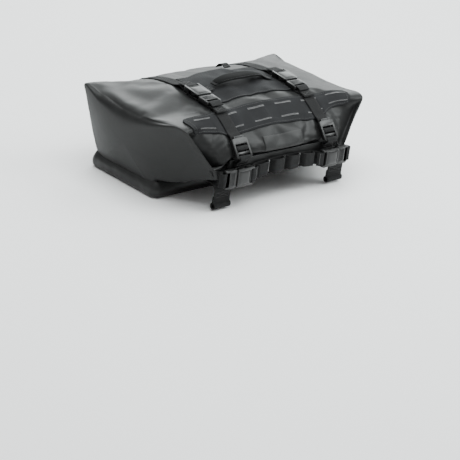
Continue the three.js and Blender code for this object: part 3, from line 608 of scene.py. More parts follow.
def inflate(obj):
    """A short cloth simulation under a little pressure: spare cloth between what holds it.

    The end panels keep their shape, and no point moves further than CLOTH_CAP.
    """
    mesh = obj.data
    start = np.array([v.co for v in mesh.vertices]) / MM
    held = obj.vertex_groups.new(name="held")
    columns = len(SKIN_TS)
    rows = (len(start) - 2) // columns
    t = np.r_[np.tile(SKIN_TS, rows), 3, 3]
    x, z = np.abs(start[:, 0]), start[:, 2]
    strap = np.exp(-(((x - STRAP_X) / STRAP_REACH) ** 6))
    row = np.r_[np.repeat(np.arange(rows), columns), 0, rows - 1]
    inward = CAP_RINGS - np.minimum(row, rows - 1 - row)
    wing = smoothstep(150, 165, x) * smoothstep(FRONT_TOP, FRONT_TOP + 0.4, t)
    wing *= (t < BELOW_HEM) & (inward < 1)
    panel = 0.85 * smoothstep(-2, 3, inward)
    edge = (t < 1.15) | (t > 15.7) | ((t > HEM - 0.35) & (t < 14.2))
    weight = np.clip(np.maximum.reduce([strap, wing, panel, edge.astype(float)]), LEAST_HELD, 1)
    for level in np.linspace(0, 1, 11):
        chosen = np.flatnonzero(np.abs(weight - level) <= 0.05)
        held.add([int(i) for i in chosen], float(level), "REPLACE")
    cloth = obj.modifiers.new("cloth", "CLOTH")
    s = cloth.settings
    s.quality, s.mass, s.pin_stiffness = 4, 0.5, 0.6
    s.tension_stiffness = s.compression_stiffness = 30
    s.shear_stiffness, s.bending_stiffness = 15, 16
    s.vertex_group_mass = "held"
    s.use_pressure, s.uniform_pressure_force = True, 2.5
    s.shrink_min = s.shrink_max = -0.009
    s.effector_weights.gravity = 0
    cloth.collision_settings.use_collision = False
    scene = bpy.context.scene
    for frame_number in range(1, CLOTH_FRAMES + 1):
        scene.frame_set(frame_number)
    after = obj.evaluated_get(bpy.context.evaluated_depsgraph_get()).data
    end = np.array([v.co for v in after.vertices]) / MM
    obj.modifiers.clear()
    scene.frame_set(1)
    shift = (end - start) * (1 - smoothstep(0, 6, inward))[:, None]
    size = np.linalg.norm(shift, axis=1, keepdims=True)
    shift *= np.minimum(1, CLOTH_CAP / np.maximum(size, 1e-6))
    mesh.vertices.foreach_set("co", ((start + shift) * MM).ravel())
    mesh.update()


inflate(skin)
skin.modifiers.new("smooth", "SUBSURF").levels = 1
apply_modifiers(skin)
settle(skin, "bag", "tarpaulin", "body_shell", "left_gusset_fold", "right_gusset_fold")
skin_points = [v.co / MM for v in skin.data.vertices]
skin_tree = BVHTree.FromPolygons(skin_points, [p.vertices for p in skin.data.polygons])


def rest_on(points, normals, stiff=6):
    """How far the skin stands off each point of a grid along its normal, evened as a stiff sheet would."""
    off = np.zeros(points.shape[:2])
    for i in np.ndindex(off.shape):
        hit, _, _, _ = skin_tree.ray_cast(Vector(points[i] + normals[i] * 25), Vector(-normals[i]), 50)
        off[i] = 0 if hit is None else (np.array(hit) - points[i]) @ normals[i]
    even = off.copy()
    for _ in range(stiff):
        padded = np.pad(even, 1, mode="edge")
        even = (padded[:-2, 1:-1] + padded[2:, 1:-1] + padded[1:-1, :-2] + padded[1:-1, 2:] + even) / 5
        even = np.maximum(even, off)
    return even


# ---------------------------------------------------------------- sheets, webbing and stitches

CORNER_HALF = SECTION[FRONT_TOP][3]


def column(x, ts):
    """Points of the bag at ts. Beyond a strap, x is measured along the front top corner."""
    section = Section(ts)
    if abs(x) <= STRAP_TO:
        return section.at_x(x)
    return section.outer(math.copysign(1, x), (abs(x) - STRAP_TO) / (CORNER_HALF - STRAP_TO))


def t_where(x, y):
    """The value of t, from the crown to the hem, at which the bag reaches y."""
    ts = np.arange(CREST, HEM, 0.02)
    return float(np.interp(-y, -column(x, ts)[:, 1], ts))


def laid_sheet(piece, xs, edges, shares, thick, lift, look, holes=(), lip=None):
    """Adds a sheet laid on the skin. edges gives t at its rear and front edge, shares its rows.

    holes are cells (column, row) left out, and the cells round them get the material lip.
    """
    rows = []
    for x in xs:
        rear, front = edges(x)
        rows.append(column(x, rear + (front - rear) * np.asarray(shares)))
    grid = np.array(rows)
    normals = -unit(np.cross(np.gradient(grid, axis=0), np.gradient(grid, axis=1)))
    off = rest_on(grid, normals)
    count, columns = grid.shape[:2]
    raised = np.zeros((count, columns))
    around = set()
    for c, r in holes:
        around |= {(c + i, r + j) for i in (-1, 0, 1) for j in (-1, 0, 1)}
        raised[c : c + 2, r : r + 2] = 0.35
    around -= set(holes)
    top = grid + normals * (off + lift + thick + raised)[..., None]
    low = grid + normals * (off + lift + raised)[..., None]
    uv = cloth_places(run_along(top[:, columns // 2]), run_along(top[count // 2])).reshape(-1, 2)
    verts = np.vstack([top.reshape(-1, 3), low.reshape(-1, 3)])
    under = count * columns
    cells = {(c, r) for c in range(count - 1) for r in range(columns - 1)} - set(holes)
    plain, lips = [], []

    def corners(c, r):
        return [c * columns + r, (c + 1) * columns + r, (c + 1) * columns + r + 1, c * columns + r + 1]

    sides = {0: (0, -1), 1: (1, 0), 2: (0, 1), 3: (-1, 0)}
    for c, r in sorted(cells):
        q = corners(c, r)
        kind = lips if (c, r) in around and lip else plain
        kind.append(q[::-1])
        kind.append([i + under for i in q])
        for k, (dc, dr) in sides.items():
            if (c + dc, r + dr) not in cells:
                a, b = q[k], q[(k + 1) % 4]
                kind.append([a, b, b + under, a + under])
    piece.add(verts, plain + lips, look, np.vstack([uv, uv]))
    if lip:
        piece.looks.append(lip)
        piece.look[len(piece.look) - len(lips) :] = [piece.looks.index(lip)] * len(lips)
    return top, normals


class Strip:
    """Flat webbing along a path of points, with a rounded edge. across is its width's direction."""

    ARC = np.radians([-90, -45, 0, 45, 90])

    def __init__(self, path, across, wide, thick, step=2.0, sag=0.0, seed=0.0, flats=8, crumple=0.35):
        path = np.asarray(path, float)
        lengths = np.linalg.norm(np.diff(path, axis=0), axis=1)
        counts = [max(1, math.ceil(d / step)) for d in lengths]
        ts = [np.linspace(k, k + 1, n, endpoint=False) for k, n in enumerate(counts)]
        ts = np.concatenate([*ts, [len(path) - 1]])
        self.line = spline(path, ts)
        self.length = run_along(self.line)
        self.across = np.tile(unit(np.array(across, float)), (len(ts), 1))
        tangent = unit(np.gradient(self.line, axis=0))
        self.normal = unit(np.cross(tangent, self.across))
        self.tangent = tangent
        share = self.length / self.length[-1]
        self.wide = np.array([wide(s) if callable(wide) else wide for s in share], float)
        self.thick, self.sag, self.seed, self.flats, self.crumple = thick, sag, seed, flats, crumple

    def add_to(self, piece, look):
        """Adds the webbing to a piece."""
        half, r = self.wide / 2, self.thick / 2
        flat = np.linspace(-1, 1, self.flats)
        ring = [(s, 0.0, 1.0) for s in flat]
        ring += [(1, math.cos(a), math.sin(a)) for a in self.ARC[::-1][1:-1]]
        ring += [(s, 0.0, -1.0) for s in flat[::-1]]
        ring += [(-1, -math.cos(a), math.sin(a)) for a in self.ARC[1:-1]]
        rows = []
        for share, past, up in ring:
            out = share * (half - r) + past * r
            middle = self.line + self.across * out[:, None]
            curl = fractal(middle, 26, 2, self.seed + 4) * self.crumple * (0.4 + 0.6 * abs(share))
            rows.append(middle + self.normal * (up * r + self.sag * (1 - share**2) + curl)[:, None])
        grid = np.array(rows).transpose(1, 0, 2)
        count, columns = grid.shape[:2]
        faces = grid_faces(count, columns, wrap=True) + end_faces(count, columns)
        u = np.array([[s * w / 2 + e * r for s, e, _ in ring] for w in self.wide])
        uv = np.stack([u, np.broadcast_to(self.length[:, None], u.shape)], -1)
        piece.add(grid, faces, look, uv)
        return self

    def at(self, run, out, lift=0.0, face=1):
        """A point on one face, run along the webbing and out from its centre line, and its normal."""
        lines = (self.line, self.across, self.normal)
        point, across, normal = (at_run(line, self.length, run) for line in lines)
        normal = unit(normal) * face
        return point + unit(across) * out + normal * (self.thick / 2 + lift), normal


def stitch(piece, a, b, normal, radius=0.42, look=None):
    """Adds one stitch: a short thread that rises out of the cloth and goes back in."""
    a, b = np.asarray(a), np.asarray(b)
    along = unit(b - a)
    side = unit(np.cross(normal, along))
    verts = []
    for s, r in ((0.0, 0.35), (0.2, 1), (0.8, 1), (1.0, 0.35)):
        centre = a + (b - a) * s - normal * (0.25 if s in (0.0, 1.0) else -0.12)
        for k in range(5):
            q = 2 * math.pi * k / 5
            verts.append(centre + (side * math.cos(q) + normal * math.sin(q)) * radius * r)
    piece.add(verts, grid_faces(4, 5, wrap=True) + end_faces(4, 5), look or THREAD)


def seam(piece, points, normals, pitch=4.2, radius=0.42):
    """Stitches along a line of points, a little shorter than their pitch."""
    points, normals = np.asarray(points), np.asarray(normals)
    run = run_along(points)
    for s in np.arange(pitch * 0.5, run[-1] - pitch * 0.4, pitch):
        a, b = (at_run(points, run, q) for q in (s, s + pitch * 0.72))
        stitch(piece, a, b, unit(at_run(normals, run, s)), radius)


def strip_seam(piece, strip, corners, face=1, pitch=3.0):
    """A seam on webbing through corners given as (run, out)."""
    for (r0, o0), (r1, o1) in zip(corners, corners[1:]):
        steps = [strip.at(r0 + (r1 - r0) * q, o0 + (o1 - o0) * q, 0, face) for q in np.linspace(0, 1, 6)]
        seam(piece, [p for p, _ in steps], [n for _, n in steps], pitch, 0.38)


def box_x(piece, strip, start, end, face=1, half=9.5):
    """The crossed square that holds a strap's end down."""
    strip_seam(piece, strip, [(start, -half), (end, -half), (end, half), (start, half), (start, -half)], face)
    strip_seam(piece, strip, [(start, -half), (end, half)], face)
    strip_seam(piece, strip, [(start, half), (end, -half)], face)


def bar_tack(piece, strip, run, face=1, half=10.5, look=None):
    """A dense bar of thread across webbing."""
    for out in np.arange(-half, half, 0.95):
        a, n = strip.at(run - 0.9, out, 0.1, face)
        b, _ = strip.at(run + 0.9, out + 0.5, 0.1, face)
        stitch(piece, a, b, n, 0.45, look or THREAD)


# ---------------------------------------------------------------- reinforcement sheets

SHEET_THICK = 1.4
SLIT = {"long": 37, "wide": 1.0, "pitch": 64.5, "count": 6, "shift": 8, "rows": (-112.5, -134), "lip": 0.6}
MOLLE = {"rear": -104, "rear_end": -111, "front": -146, "end": 193, "aside": 3, "round": 13, "front_t": 9.5}


def molle_edges(x):
    past = smoothstep(STRAP_TO - 20, MOLLE["end"], abs(x))
    rear = t_where(x, MOLLE["rear"] + (MOLLE["rear_end"] - MOLLE["rear"]) * past)
    inner = t_where(math.copysign(min(abs(x), STRAP_TO - 20), x), MOLLE["front"])
    front = inner + (MOLLE["front_t"] - inner) * past
    into = max(0.0, (abs(x) - (MOLLE["end"] - MOLLE["round"])) / MOLLE["round"])
    tuck = 0.34 * (front - rear) * (1 - math.sqrt(max(0.0, 1 - into**2)))
    return rear + tuck, front - tuck


def molle_panel():
    piece = Piece()
    slits = [((i - (SLIT["count"] - 1) / 2) * SLIT["pitch"] + SLIT["shift"]) for i in range(SLIT["count"])]
    lip, half = SLIT["lip"], SLIT["long"] / 2
    breaks = sorted(c + d for c in slits for d in (-half - lip, -half, half, half + lip))
    last = MOLLE["end"]
    ends = [last - MOLLE["round"] * (1 - math.sin(a)) for a in np.linspace(0, math.pi / 2, 6)]
    fixed = sorted([-e for e in ends] + breaks + ends)
    xs = []
    for a, b in zip(fixed, fixed[1:]):
        if b - a > 1e-6:
            xs += list(np.linspace(a, b, max(1, round((b - a) / 4.0)), endpoint=False))
    xs = np.array(xs + [last])
    width = MOLLE["rear"] - MOLLE["front"]
    shares, rows = [0.0], []
    for y in SLIT["rows"]:
        middle = (MOLLE["rear"] - y) / width
        w, ring = SLIT["wide"] / 2 / width * 0.84, lip / width
        start = shares[-1]
        shares += list(np.linspace(start, middle - w - ring, 4)[1:])
        shares.append(middle - w)
        rows.append(len(shares) - 1)
        shares += [middle + w, middle + w + ring]
    shares += list(np.linspace(shares[-1], 1, 4)[1:])
    middles = (xs[:-1] + xs[1:]) / 2
    holes = [(c, r) for c, x in enumerate(middles) for r in rows for s in slits if abs(x - s) < half]
    aside = MOLLE["aside"]
    # The cells round each slit get the pale lip material: partly the rubber's cut core, partly a painted
    # highlight on the lip.
    top, normals = laid_sheet(
        piece, xs - aside, lambda x: molle_edges(x + aside), shares,
        SHEET_THICK, 0.5, RUBBER, holes, RUBBER_EDGE_AND_HIGHLIGHT,
    )
    for edge, inner in ((0, 1), (-1, -2)):
        line = top[:, edge] + unit(top[:, inner] - top[:, edge]) * 3.2
        seam(piece, line[5:-5], normals[5:-5, edge])
    for c in (4, -5):
        seam(piece, top[c], normals[c])
    settle(piece.build("slit_panel", bevel=0.35), "bag", "rubber_sheet", "molle_panel")


def handle_panel():
    piece = Piece()
    xs, shares = np.linspace(-90, 90, 61), np.linspace(0, 1, 34)
    top, normals = laid_sheet(piece, xs, lambda x: (6.6, 8.53), shares, SHEET_THICK, 0.3, RUBBER)
    for edge in (np.s_[1], np.s_[-2], np.s_[:, 1], np.s_[:, -2]):
        seam(piece, top[edge], normals[edge])
    settle(piece.build("handle_sheet", bevel=0.35), "bag", "rubber_sheet", "handle_panel")
    return top, normals


def label_patch():
    piece = Piece()
    xs, shares = np.linspace(-46, 46, 40), np.linspace(0, 1, 18)
    laid_sheet(piece, xs, lambda x: (10.88, 11.9), shares, 0.7, 0.15, PATCH)
    settle(piece.build("label_blank", bevel=0.3), "bag", "tarpaulin", "label_patch")


PATCH = tarpaulin("welded_patch", 0.018, 0.46, 0.3)
# The slits' lips: pale grey, partly the rubber's cut core and partly a painted highlight where the lips catch
# the light.
RUBBER_EDGE_AND_HIGHLIGHT = plastic("rubber_cut_edge_and_highlight", 0.13, 0.6)
molle_panel()
PANEL = handle_panel()
label_patch()

# ---------------------------------------------------------------- straps' paths

WEB_25, WEB_38, WEB_THICK = 25, 38, 1.6
BUCKLE = {"thick": 11, "female": 38, "male": 26}
LADDER = {"length": 36}
BAR, WRAP = 3.4, 3.5
STRAP_MOUTH = {"y": -66, "z": 163.2, "pitch": math.radians(8)}
LOCK = {"y": -170.5, "z": 105.4, "slope": math.radians(52)}
CLOSURE_MOUTH = {"x": 122, "y": -183, "z": 59.5}
FEMALE_BAR = BUCKLE["female"] - BAR / 2
MALE_BAR = -BUCKLE["male"] + BAR / 2
ANCHOR_BAR = -LADDER["length"] / 2 + BAR / 2
GRIP_BAR = 0.4
MOUNT_X = 137.5


def arc(x, y, radius, start, end, count=8):
    """Points of an arc, with its angles in degrees."""
    angles = np.radians(np.linspace(start, end, count + 1))
    return [(x + radius * math.cos(a), y + radius * math.sin(a)) for a in angles]


def turned(origin, angle, points):
    """Points in a strap's plane, from a frame at origin turned by angle."""
    c, s = math.cos(angle), math.sin(angle)
    return [(origin["y"] + a * c - b * s, origin["z"] + a * s + b * c) for a, b in points]


def on_buckle(*points):
    return turned(STRAP_MOUTH, STRAP_MOUTH["pitch"], points)


def on_lock(*points):
    return turned(LOCK, LOCK["slope"], points)


def under_strap(start, end, off):
    """The bag's section under a strap, moved out by off(t)."""
    ts = np.append(np.arange(start, end, 0.5), end)
    fine = np.array([ts - 0.01, ts, ts + 0.01])
    before, here, after = (spline([row[1] for row in SECTION], np.clip(t, 0, LAST)) for t in fine)
    along = unit(after - before)
    return [(p[0] + n[1] * off(t), p[1] - n[0] * off(t)) for p, n, t in zip(here, along, ts)]


def in_yz(x, path):
    return [(x, y, z) for y, z in path]


# ---------------------------------------------------------------- compression straps


def rear_strap(side, name):
    path = [
        *under_strap(2, 7, lambda t: 1.4 + 0.6 * max(0, t - 6)),
        *on_buckle((54, -2.5), (46, -3.4), (41, -WRAP)),
        *on_buckle(*arc(FEMALE_BAR, 0, WRAP, 270, 90)),
        *on_buckle((44, 2), (56, 0)),
    ]
    strip = Strip(in_yz(side * STRAP_X, path), (1, 0, 0), WEB_25, WEB_THICK, seed=side)
    piece = Piece()
    strip.add_to(piece, WEBBING)
    box_x(piece, strip, strip.length[-1] - 14, strip.length[-1] - 2.5, face=-1)
    bar_tack(piece, strip, 4)
    bar_tack(piece, strip, 11)
    settle(piece.build(name + "_rear_webbing"), "bag", "webbing", name + "_rear_strap")


def front_strap(side, name):
    x = side * STRAP_X
    path = [
        *under_strap(9, 10.4, lambda t: 4.1),
        *on_lock((24, -4.2), (12, -4.5), (9.4, -4.5)),
        *on_lock(*arc(GRIP_BAR, 0, WRAP, -55, 210)),
        *on_lock((-5, -3.6), (-9.4, -4)),
    ]
    piece = Piece()
    strip = Strip(in_yz(x, path), (1, 0, 0), WEB_25, WEB_THICK, seed=side + 2).add_to(piece, WEBBING)
    bar_tack(piece, strip, 4)
    made = piece.build(name + "_front_webbing")
    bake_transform(made)
    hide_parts(name + "_front_strap", name + "_front_strap_end")

    path = [
        *on_buckle((-36, 0.2), (-30, 2.6)),
        *on_buckle(*arc(MALE_BAR, 0, WRAP, 90, -90)),
        *on_buckle((-29, -3.2)),
        *under_strap(9.14, 9.3, lambda t: 7.8),
    ]
    piece = Piece()
    strip = Strip(in_yz(x, path), (1, 0, 0), WEB_25, WEB_THICK, seed=side + 5).add_to(piece, WEBBING)
    box_x(piece, strip, strip.length[-1] - 13, strip.length[-1] - 3, face=1)
    body = name + "_strap_buckle_male_half"
    settle(piece.build(name + "_upper_webbing"), body, "webbing", name + "_front_strap_upper")


def anchor_tab(side, name):
    path = [
        (-171.6, 73),
        (-171.8, 83),
        *on_lock(*arc(ANCHOR_BAR, 0, 3.3, -115, 90, 7)),
        *on_lock((-20.4, 2.2)),
        (-175, 80),
        (-174, 72),
        (-173.6, 54),
        (-171, 48.6),
        (-164, 46.8),
        (-152, 47),
    ]
    piece = Piece()
    strip = Strip(in_yz(side * STRAP_X, path), (1, 0, 0), WEB_25, 1.2, seed=side + 8).add_to(piece, WEBBING)
    bar_tack(piece, strip, strip.length[-1] * 0.52, face=1)
    settle(piece.build(name + "_anchor_webbing"), "bag", "webbing", name + "_anchor_tab")


for side, name in SIDES:
    rear_strap(side, name)
    front_strap(side, name)
    anchor_tab(side, name)

# ---------------------------------------------------------------- mounting straps

MOUNTS = {
    "front": {"eye": (-170, 9), "rest": [(-171.1, 37), (-169.5, 42), (-163, 47), (-150, 48.2)]},
    "rear": {"eye": (97, 9), "rest": [(95.9, 34), (94.9, 40), (91.2, 48)]},
}


def mounting_strap(side, name, place):
    x = side * MOUNT_X
    (y, z), rest = MOUNTS[place]["eye"], MOUNTS[place]["rest"]
    path = [(y + 1.1, z + 17), (y + 1.1, z + 13), *arc(y, z, 5.2, 70, -250, 14), (y - 1.1, z + 13), *rest]
    piece = Piece()
    strip = Strip(in_yz(x, path), (1, 0, 0), WEB_38, WEB_THICK, seed=side + len(place)).add_to(piece, WEBBING)
    run = strip.length[np.argmin(np.linalg.norm(strip.line - np.array([x, y - 1.1, z + 15]), axis=1))]
    box_x(piece, strip, run, run + 9, face=-1, half=15)
    made = piece.build(f"{name}_{place}_mounting_webbing")
    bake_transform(made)
    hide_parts(f"{name}_{place}_mount_seam", f"{name}_{place}_mount_strap")


for side, name in SIDES:
    for place in MOUNTS:
        mounting_strap(side, name, place)

# ---------------------------------------------------------------- closure webbing

DAISY = {"pitch": 37, "loops": 4, "stand": 9.5, "y": -173.4}
# One daisy loop: (share of its length, share of its height).
DAISY_LOOP = ((0.04, 0.45), (0.13, 0.9), (0.35, 1), (0.65, 0.97), (0.87, 0.88), (0.96, 0.42))
ARCH = 5.0  # how far the closure webbing rises in the middle


def in_xy(path):
    """The closure webbing's path, which rises a little towards the middle of the bag."""
    z = CLOSURE_MOUTH["z"]
    return [(x, y, z + ARCH * max(0, 1 - (x / 80) ** 2)) for x, y in path]


def closure_webbing():
    bar, y = CLOSURE_MOUTH["x"] - FEMALE_BAR, CLOSURE_MOUTH["y"]

    def end(side):
        wrap = [(side * x, y_) for x, y_ in arc(bar, y, WRAP, 90, -90)]
        return [(side * 70, -171.6), (side * 77, -174.5), *wrap, (side * 78, y - 2.6), (side * 73, y - 0.6)]

    middle = [(x, -171.6) for x in (-60, -40, -20, 0, 20, 40, 60)]
    piece = Piece()
    path = in_xy([*end(-1)[::-1], *middle, *end(1)])
    strip = Strip(path, (0, 0, 1), WEB_25, 1.4, seed=11).add_to(piece, WEBBING)
    for run in (5, strip.length[-1] - 5):
        bar_tack(piece, strip, run, face=-1)
    settle(piece.build("closure_strip"), "bag", "webbing", "closure_webbing")


def daisy_chain():
    path, tacks = [], []
    for i in range(DAISY["loops"]):
        x = (i - DAISY["loops"] / 2) * DAISY["pitch"]
        reach = DAISY["pitch"] - 8
        stand = DAISY["stand"] * (0.86, 1.0, 0.9, 0.96)[i]
        path += [(x, DAISY["y"]), (x + 3.4, DAISY["y"])]
        path += [(x + 4 + reach * s, DAISY["y"] - stand * h) for s, h in DAISY_LOOP]
        path.append((x + DAISY["pitch"] - 3.4, DAISY["y"]))
        tacks.append(x)
    path.append((DAISY["loops"] / 2 * DAISY["pitch"], DAISY["y"]))
    piece = Piece()
    strip = Strip(in_xy(path), (0, 0, 1), WEB_25, 1.4, step=1.5, seed=12).add_to(piece, WEBBING)
    for k, x in enumerate([*tacks, -tacks[0]]):
        run = strip.length[np.argmin(np.abs(strip.line[:, 0] - x) + np.abs(strip.line[:, 1] - DAISY["y"]))]
        thread_look = PALE_THREAD if k in (1, 3) else THREAD
        bar_tack(piece, strip, float(np.clip(run, 2, strip.length[-1] - 2)), look=thread_look)
    settle(piece.build("daisy_loops"), "bag", "webbing", "daisy_chain")


def wing_tab(side, name):
    bar, y = CLOSURE_MOUTH["x"] - MALE_BAR, CLOSURE_MOUTH["y"]
    path = [(bar + 9.3, y + 7.1), *arc(bar + 4.5, y + 1.8, 5.3, 90, -90), *arc(bar, y, WRAP, -90, -230, 5)]
    path = [(side * x, y_, CLOSURE_MOUTH["z"]) for x, y_ in path]
    piece = Piece()
    Strip(path, (0, 0, side), WEB_25, 1.2, seed=side + 14).add_to(piece, WEBBING)
    body = name + "_closure_buckle_male_half"
    settle(piece.build(name + "_wing_webbing"), body, "webbing", name + "_wing_tab")


PALE_THREAD = plastic("pale_thread", 0.3, 0.6)
closure_webbing()
daisy_chain()
for side, name in SIDES:
    wing_tab(side, name)

# ---------------------------------------------------------------- buckles


def add_box(piece, low, high, matrix, look):
    """A small moulded rib, given in a buckle's own frame."""
    corners = [(x, y, z) for x in (low[0], high[0]) for y in (low[1], high[1]) for z in (low[2], high[2])]
    faces = [(0, 1, 3, 2), (4, 6, 7, 5), (0, 4, 5, 1), (2, 3, 7, 6), (0, 2, 6, 4), (1, 5, 7, 3)]
    piece.add([matrix @ Vector(c) for c in corners], faces, look)


def add_ribs(piece, starts, long, across, up, matrix):
    """A row of small moulded ribs along x, given in a buckle's own frame."""
    for x in starts:
        add_box(piece, (x, across[0], up[0]), (x + long, across[1], up[1]), matrix, PLASTIC)


def add_crown(piece, low, high, base, rise, matrix, look):
    """A low rounded swell on a face of a buckle, given in the buckle's own frame."""
    n = 14
    u = np.sin(np.linspace(-math.pi / 2, math.pi / 2, n))
    verts = []
    for a in u:
        for b in u:
            x = low[0] + (high[0] - low[0]) * (a + 1) / 2
            y = low[1] + (high[1] - low[1]) * (b + 1) / 2
            verts.append((x, y, base + rise * ((1 - abs(a) ** 4) * (1 - abs(b) ** 4)) ** 0.6))
    under = [(x, y, base - 0.5) for x, y, _ in verts]
    faces = [f[::-1] for f in grid_faces(n, n)] + [tuple(i + n * n for i in f) for f in grid_faces(n, n)]
    rim = [i for i in range(n)] + [i * n + n - 1 for i in range(1, n)]
    rim += [(n - 1) * n + i for i in range(n - 2, -1, -1)] + [i * n for i in range(n - 2, 0, -1)]
    for a, b in zip(rim, rim[1:] + rim[:1]):
        faces.append((a, b, b + n * n, a + n * n))
    piece.add([matrix @ Vector(v) for v in verts + under], faces, look)


def moulded(node, body, width, extras):
    """Settles a CAD node's shape, with its edges rounded as they leave the mould and extras added."""
    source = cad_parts[node].data
    mesh = bmesh.new()
    mesh.from_mesh(source)
    bmesh.ops.remove_doubles(mesh, verts=mesh.verts, dist=1e-6)
    bmesh.ops.dissolve_limit(mesh, angle_limit=0.01, verts=mesh.verts, edges=mesh.edges)
    piece = Piece()
    mesh.verts.index_update()
    piece.add([v.co / MM for v in mesh.verts], [[v.index for v in f.verts] for f in mesh.faces], PLASTIC)
    mesh.free()
    extras(piece)
    settle(piece.build(node + "_moulded", bevel=width), body, "plastic", node)


def buckle(name, matrix, male_body):
    def female_extras(piece):
        add_crown(piece, (3, -12), (27, 12), BUCKLE["thick"] / 2, 1.5, matrix, PLASTIC)
        add_ribs(piece, (1.2, 28.6), 1.1, (-11, 11), (5.2, 6.1), matrix)

    def male_extras(piece):
        add_ribs(piece, (-15.4, -12.6, -9.8, -7.0), 1.2, (-12, 12), (3.7, 4.7), matrix)

    def arm_extras(sign):
        across = (sign * 15.4 - 0.4, sign * 15.4 + 1.0)
        return lambda piece: add_ribs(piece, (10.5, 12.5, 14.5, 16.5), 0.8, across, (-1.9, 1.9), matrix)

    moulded(name + "_female", "bag", 0.7, female_extras)
    moulded(name + "_male", male_body, 0.7, male_extras)
    for arm, sign in (("_arm_a", 1), ("_arm_b", -1)):
        moulded(name + arm, male_body, 0.4, arm_extras(sign))


def ladder_lock(side, name):
    place = Matrix.Translation((side * STRAP_X, LOCK["y"], LOCK["z"]))
    matrix = place @ Matrix.Rotation(LOCK["slope"], 4, "X") @ Matrix.Rotation(math.pi / 2, 4, "Z")

    def extras(piece):
        add_ribs(piece, (18.6, 20.2), 0.8, (-9, 9), (2.6, 3.7), matrix)

    moulded(name + "_ladder_lock", name + "_lock", 0.8, extras)


for side, name in SIDES:
    place = Matrix.Translation((side * STRAP_X, STRAP_MOUTH["y"], STRAP_MOUTH["z"]))
    turn = Matrix.Rotation(STRAP_MOUTH["pitch"], 4, "X") @ Matrix.Rotation(math.pi / 2, 4, "Z")
    buckle(name + "_strap_buckle", place @ turn, name + "_strap_buckle_male_half")
    place = Matrix.Translation((side * CLOSURE_MOUTH["x"], CLOSURE_MOUTH["y"], CLOSURE_MOUTH["z"]))
    turn = Matrix.Rotation(-side * math.pi / 2, 4, "X") @ Matrix.Rotation(math.pi * (side > 0), 4, "Y")
    buckle(name + "_closure_buckle", place @ turn, name + "_closure_buckle_male_half")
    ladder_lock(side, name)

# ---------------------------------------------------------------- the base

BOOT = {"x": 217, "y": 90, "corner": 14}
# The boot's wall from under the bag, round its swell, and back down inside: (out, z).
BOOT_WALL = (
    (-60, 0.0), (-24, 0.0), (-10, 0.0), (-5, 0.5), (-1.6, 2.4), (0.4, 6),
    (1.4, 11), (1.2, 16), (-0.4, 21), (-2.8, 25.2), (-4.9, 28), (-5.9, 29.6),
    (-6.9, 30.3), (-7.9, 29.6), (-8.4, 27), (-9, 14), (-11, 6), (-30, 3.4),
)


def boot_ring(out, z):
    """A ring round the base, with its corners rounded, moved out from the outline."""
    radius = max(BOOT["corner"] + out, 3)
    x, y = BOOT["x"] + out - radius, BOOT["y"] + out - radius
    points = []
    for k, (sx, sy) in enumerate(((1, 1), (-1, 1), (-1, -1), (1, -1))):
        for a in np.radians(np.linspace(90 * k, 90 * k + 90, 9)):
            points.append((sx * x + radius * math.cos(a), sy * y + radius * math.sin(a)))
        nx, ny = ((-1, 1), (-1, -1), (1, -1), (1, 1))[k]
        a = np.array(points[-1])
        b = np.array((nx * x, ny * (y + radius)) if k % 2 == 0 else (nx * (x + radius), ny * y))
        steps = 56 if k % 2 == 0 else 24
        points += [tuple(a + (b - a) * s / steps) for s in range(1, steps)]
    return np.array([(px, py, z) for px, py in points])


def soft_boot():
    rings = np.array([boot_ring(out, z) for out, z in BOOT_WALL])
    middle = rings[6]
    outward = unit(middle * (1, 1, 0) - boot_ring(-20, 0) * (1, 1, 0))
    for i, (_, z) in enumerate(BOOT_WALL):
        if 3 <= i <= 14:
            swell = 1.1 * fractal(rings[i] * (1, 1, 2.2), 46, 3, 21)
            swell += 0.9 * fractal(rings[i] * (1, 1, 0.5), 19, 2, 22)
            swell *= math.sin(math.pi * min(1, max(0, z / 31))) ** 0.6
            rings[i] += outward * np.minimum(swell, 2.0)[:, None]
            rings[i][:, 2] += 0.5 * fractal(rings[i], 40, 2, 23) * smoothstep(14, 30, z)
    count, columns = rings.shape[:2]
    verts = np.vstack([rings.reshape(-1, 3), [(0, 0, 0)], [(0, 0, 3.4)]])
    faces = [f[::-1] for f in grid_faces(count, columns, wrap=True)]
    hub = count * columns
    for c in range(columns):
        d = (c + 1) % columns
        faces.append((hub, d, c))
        faces.append((hub + 1, (count - 1) * columns + c, (count - 1) * columns + d))
    run = run_along(middle)
    up = np.cumsum([0] + [math.dist(a, b) for a, b in zip(BOOT_WALL, BOOT_WALL[1:])])
    uv = np.stack(np.broadcast_arrays(run[None], up[:, None]), -1).reshape(-1, 2)
    piece = Piece().add(verts, faces, BOOT_SHEET, np.vstack([uv, uv[:2]]))
    settle(piece.build("soft_boot", subdivide=1), "bag", "boot_sheet", "base_boot")


soft_boot()

# ---------------------------------------------------------------- the rolled mouth

ROLL = {"half": 126, "y": -161.5, "z": 65, "half_turns": 6, "fabric": 1.2, "gap": 0.4, "core": 2, "high": 16}


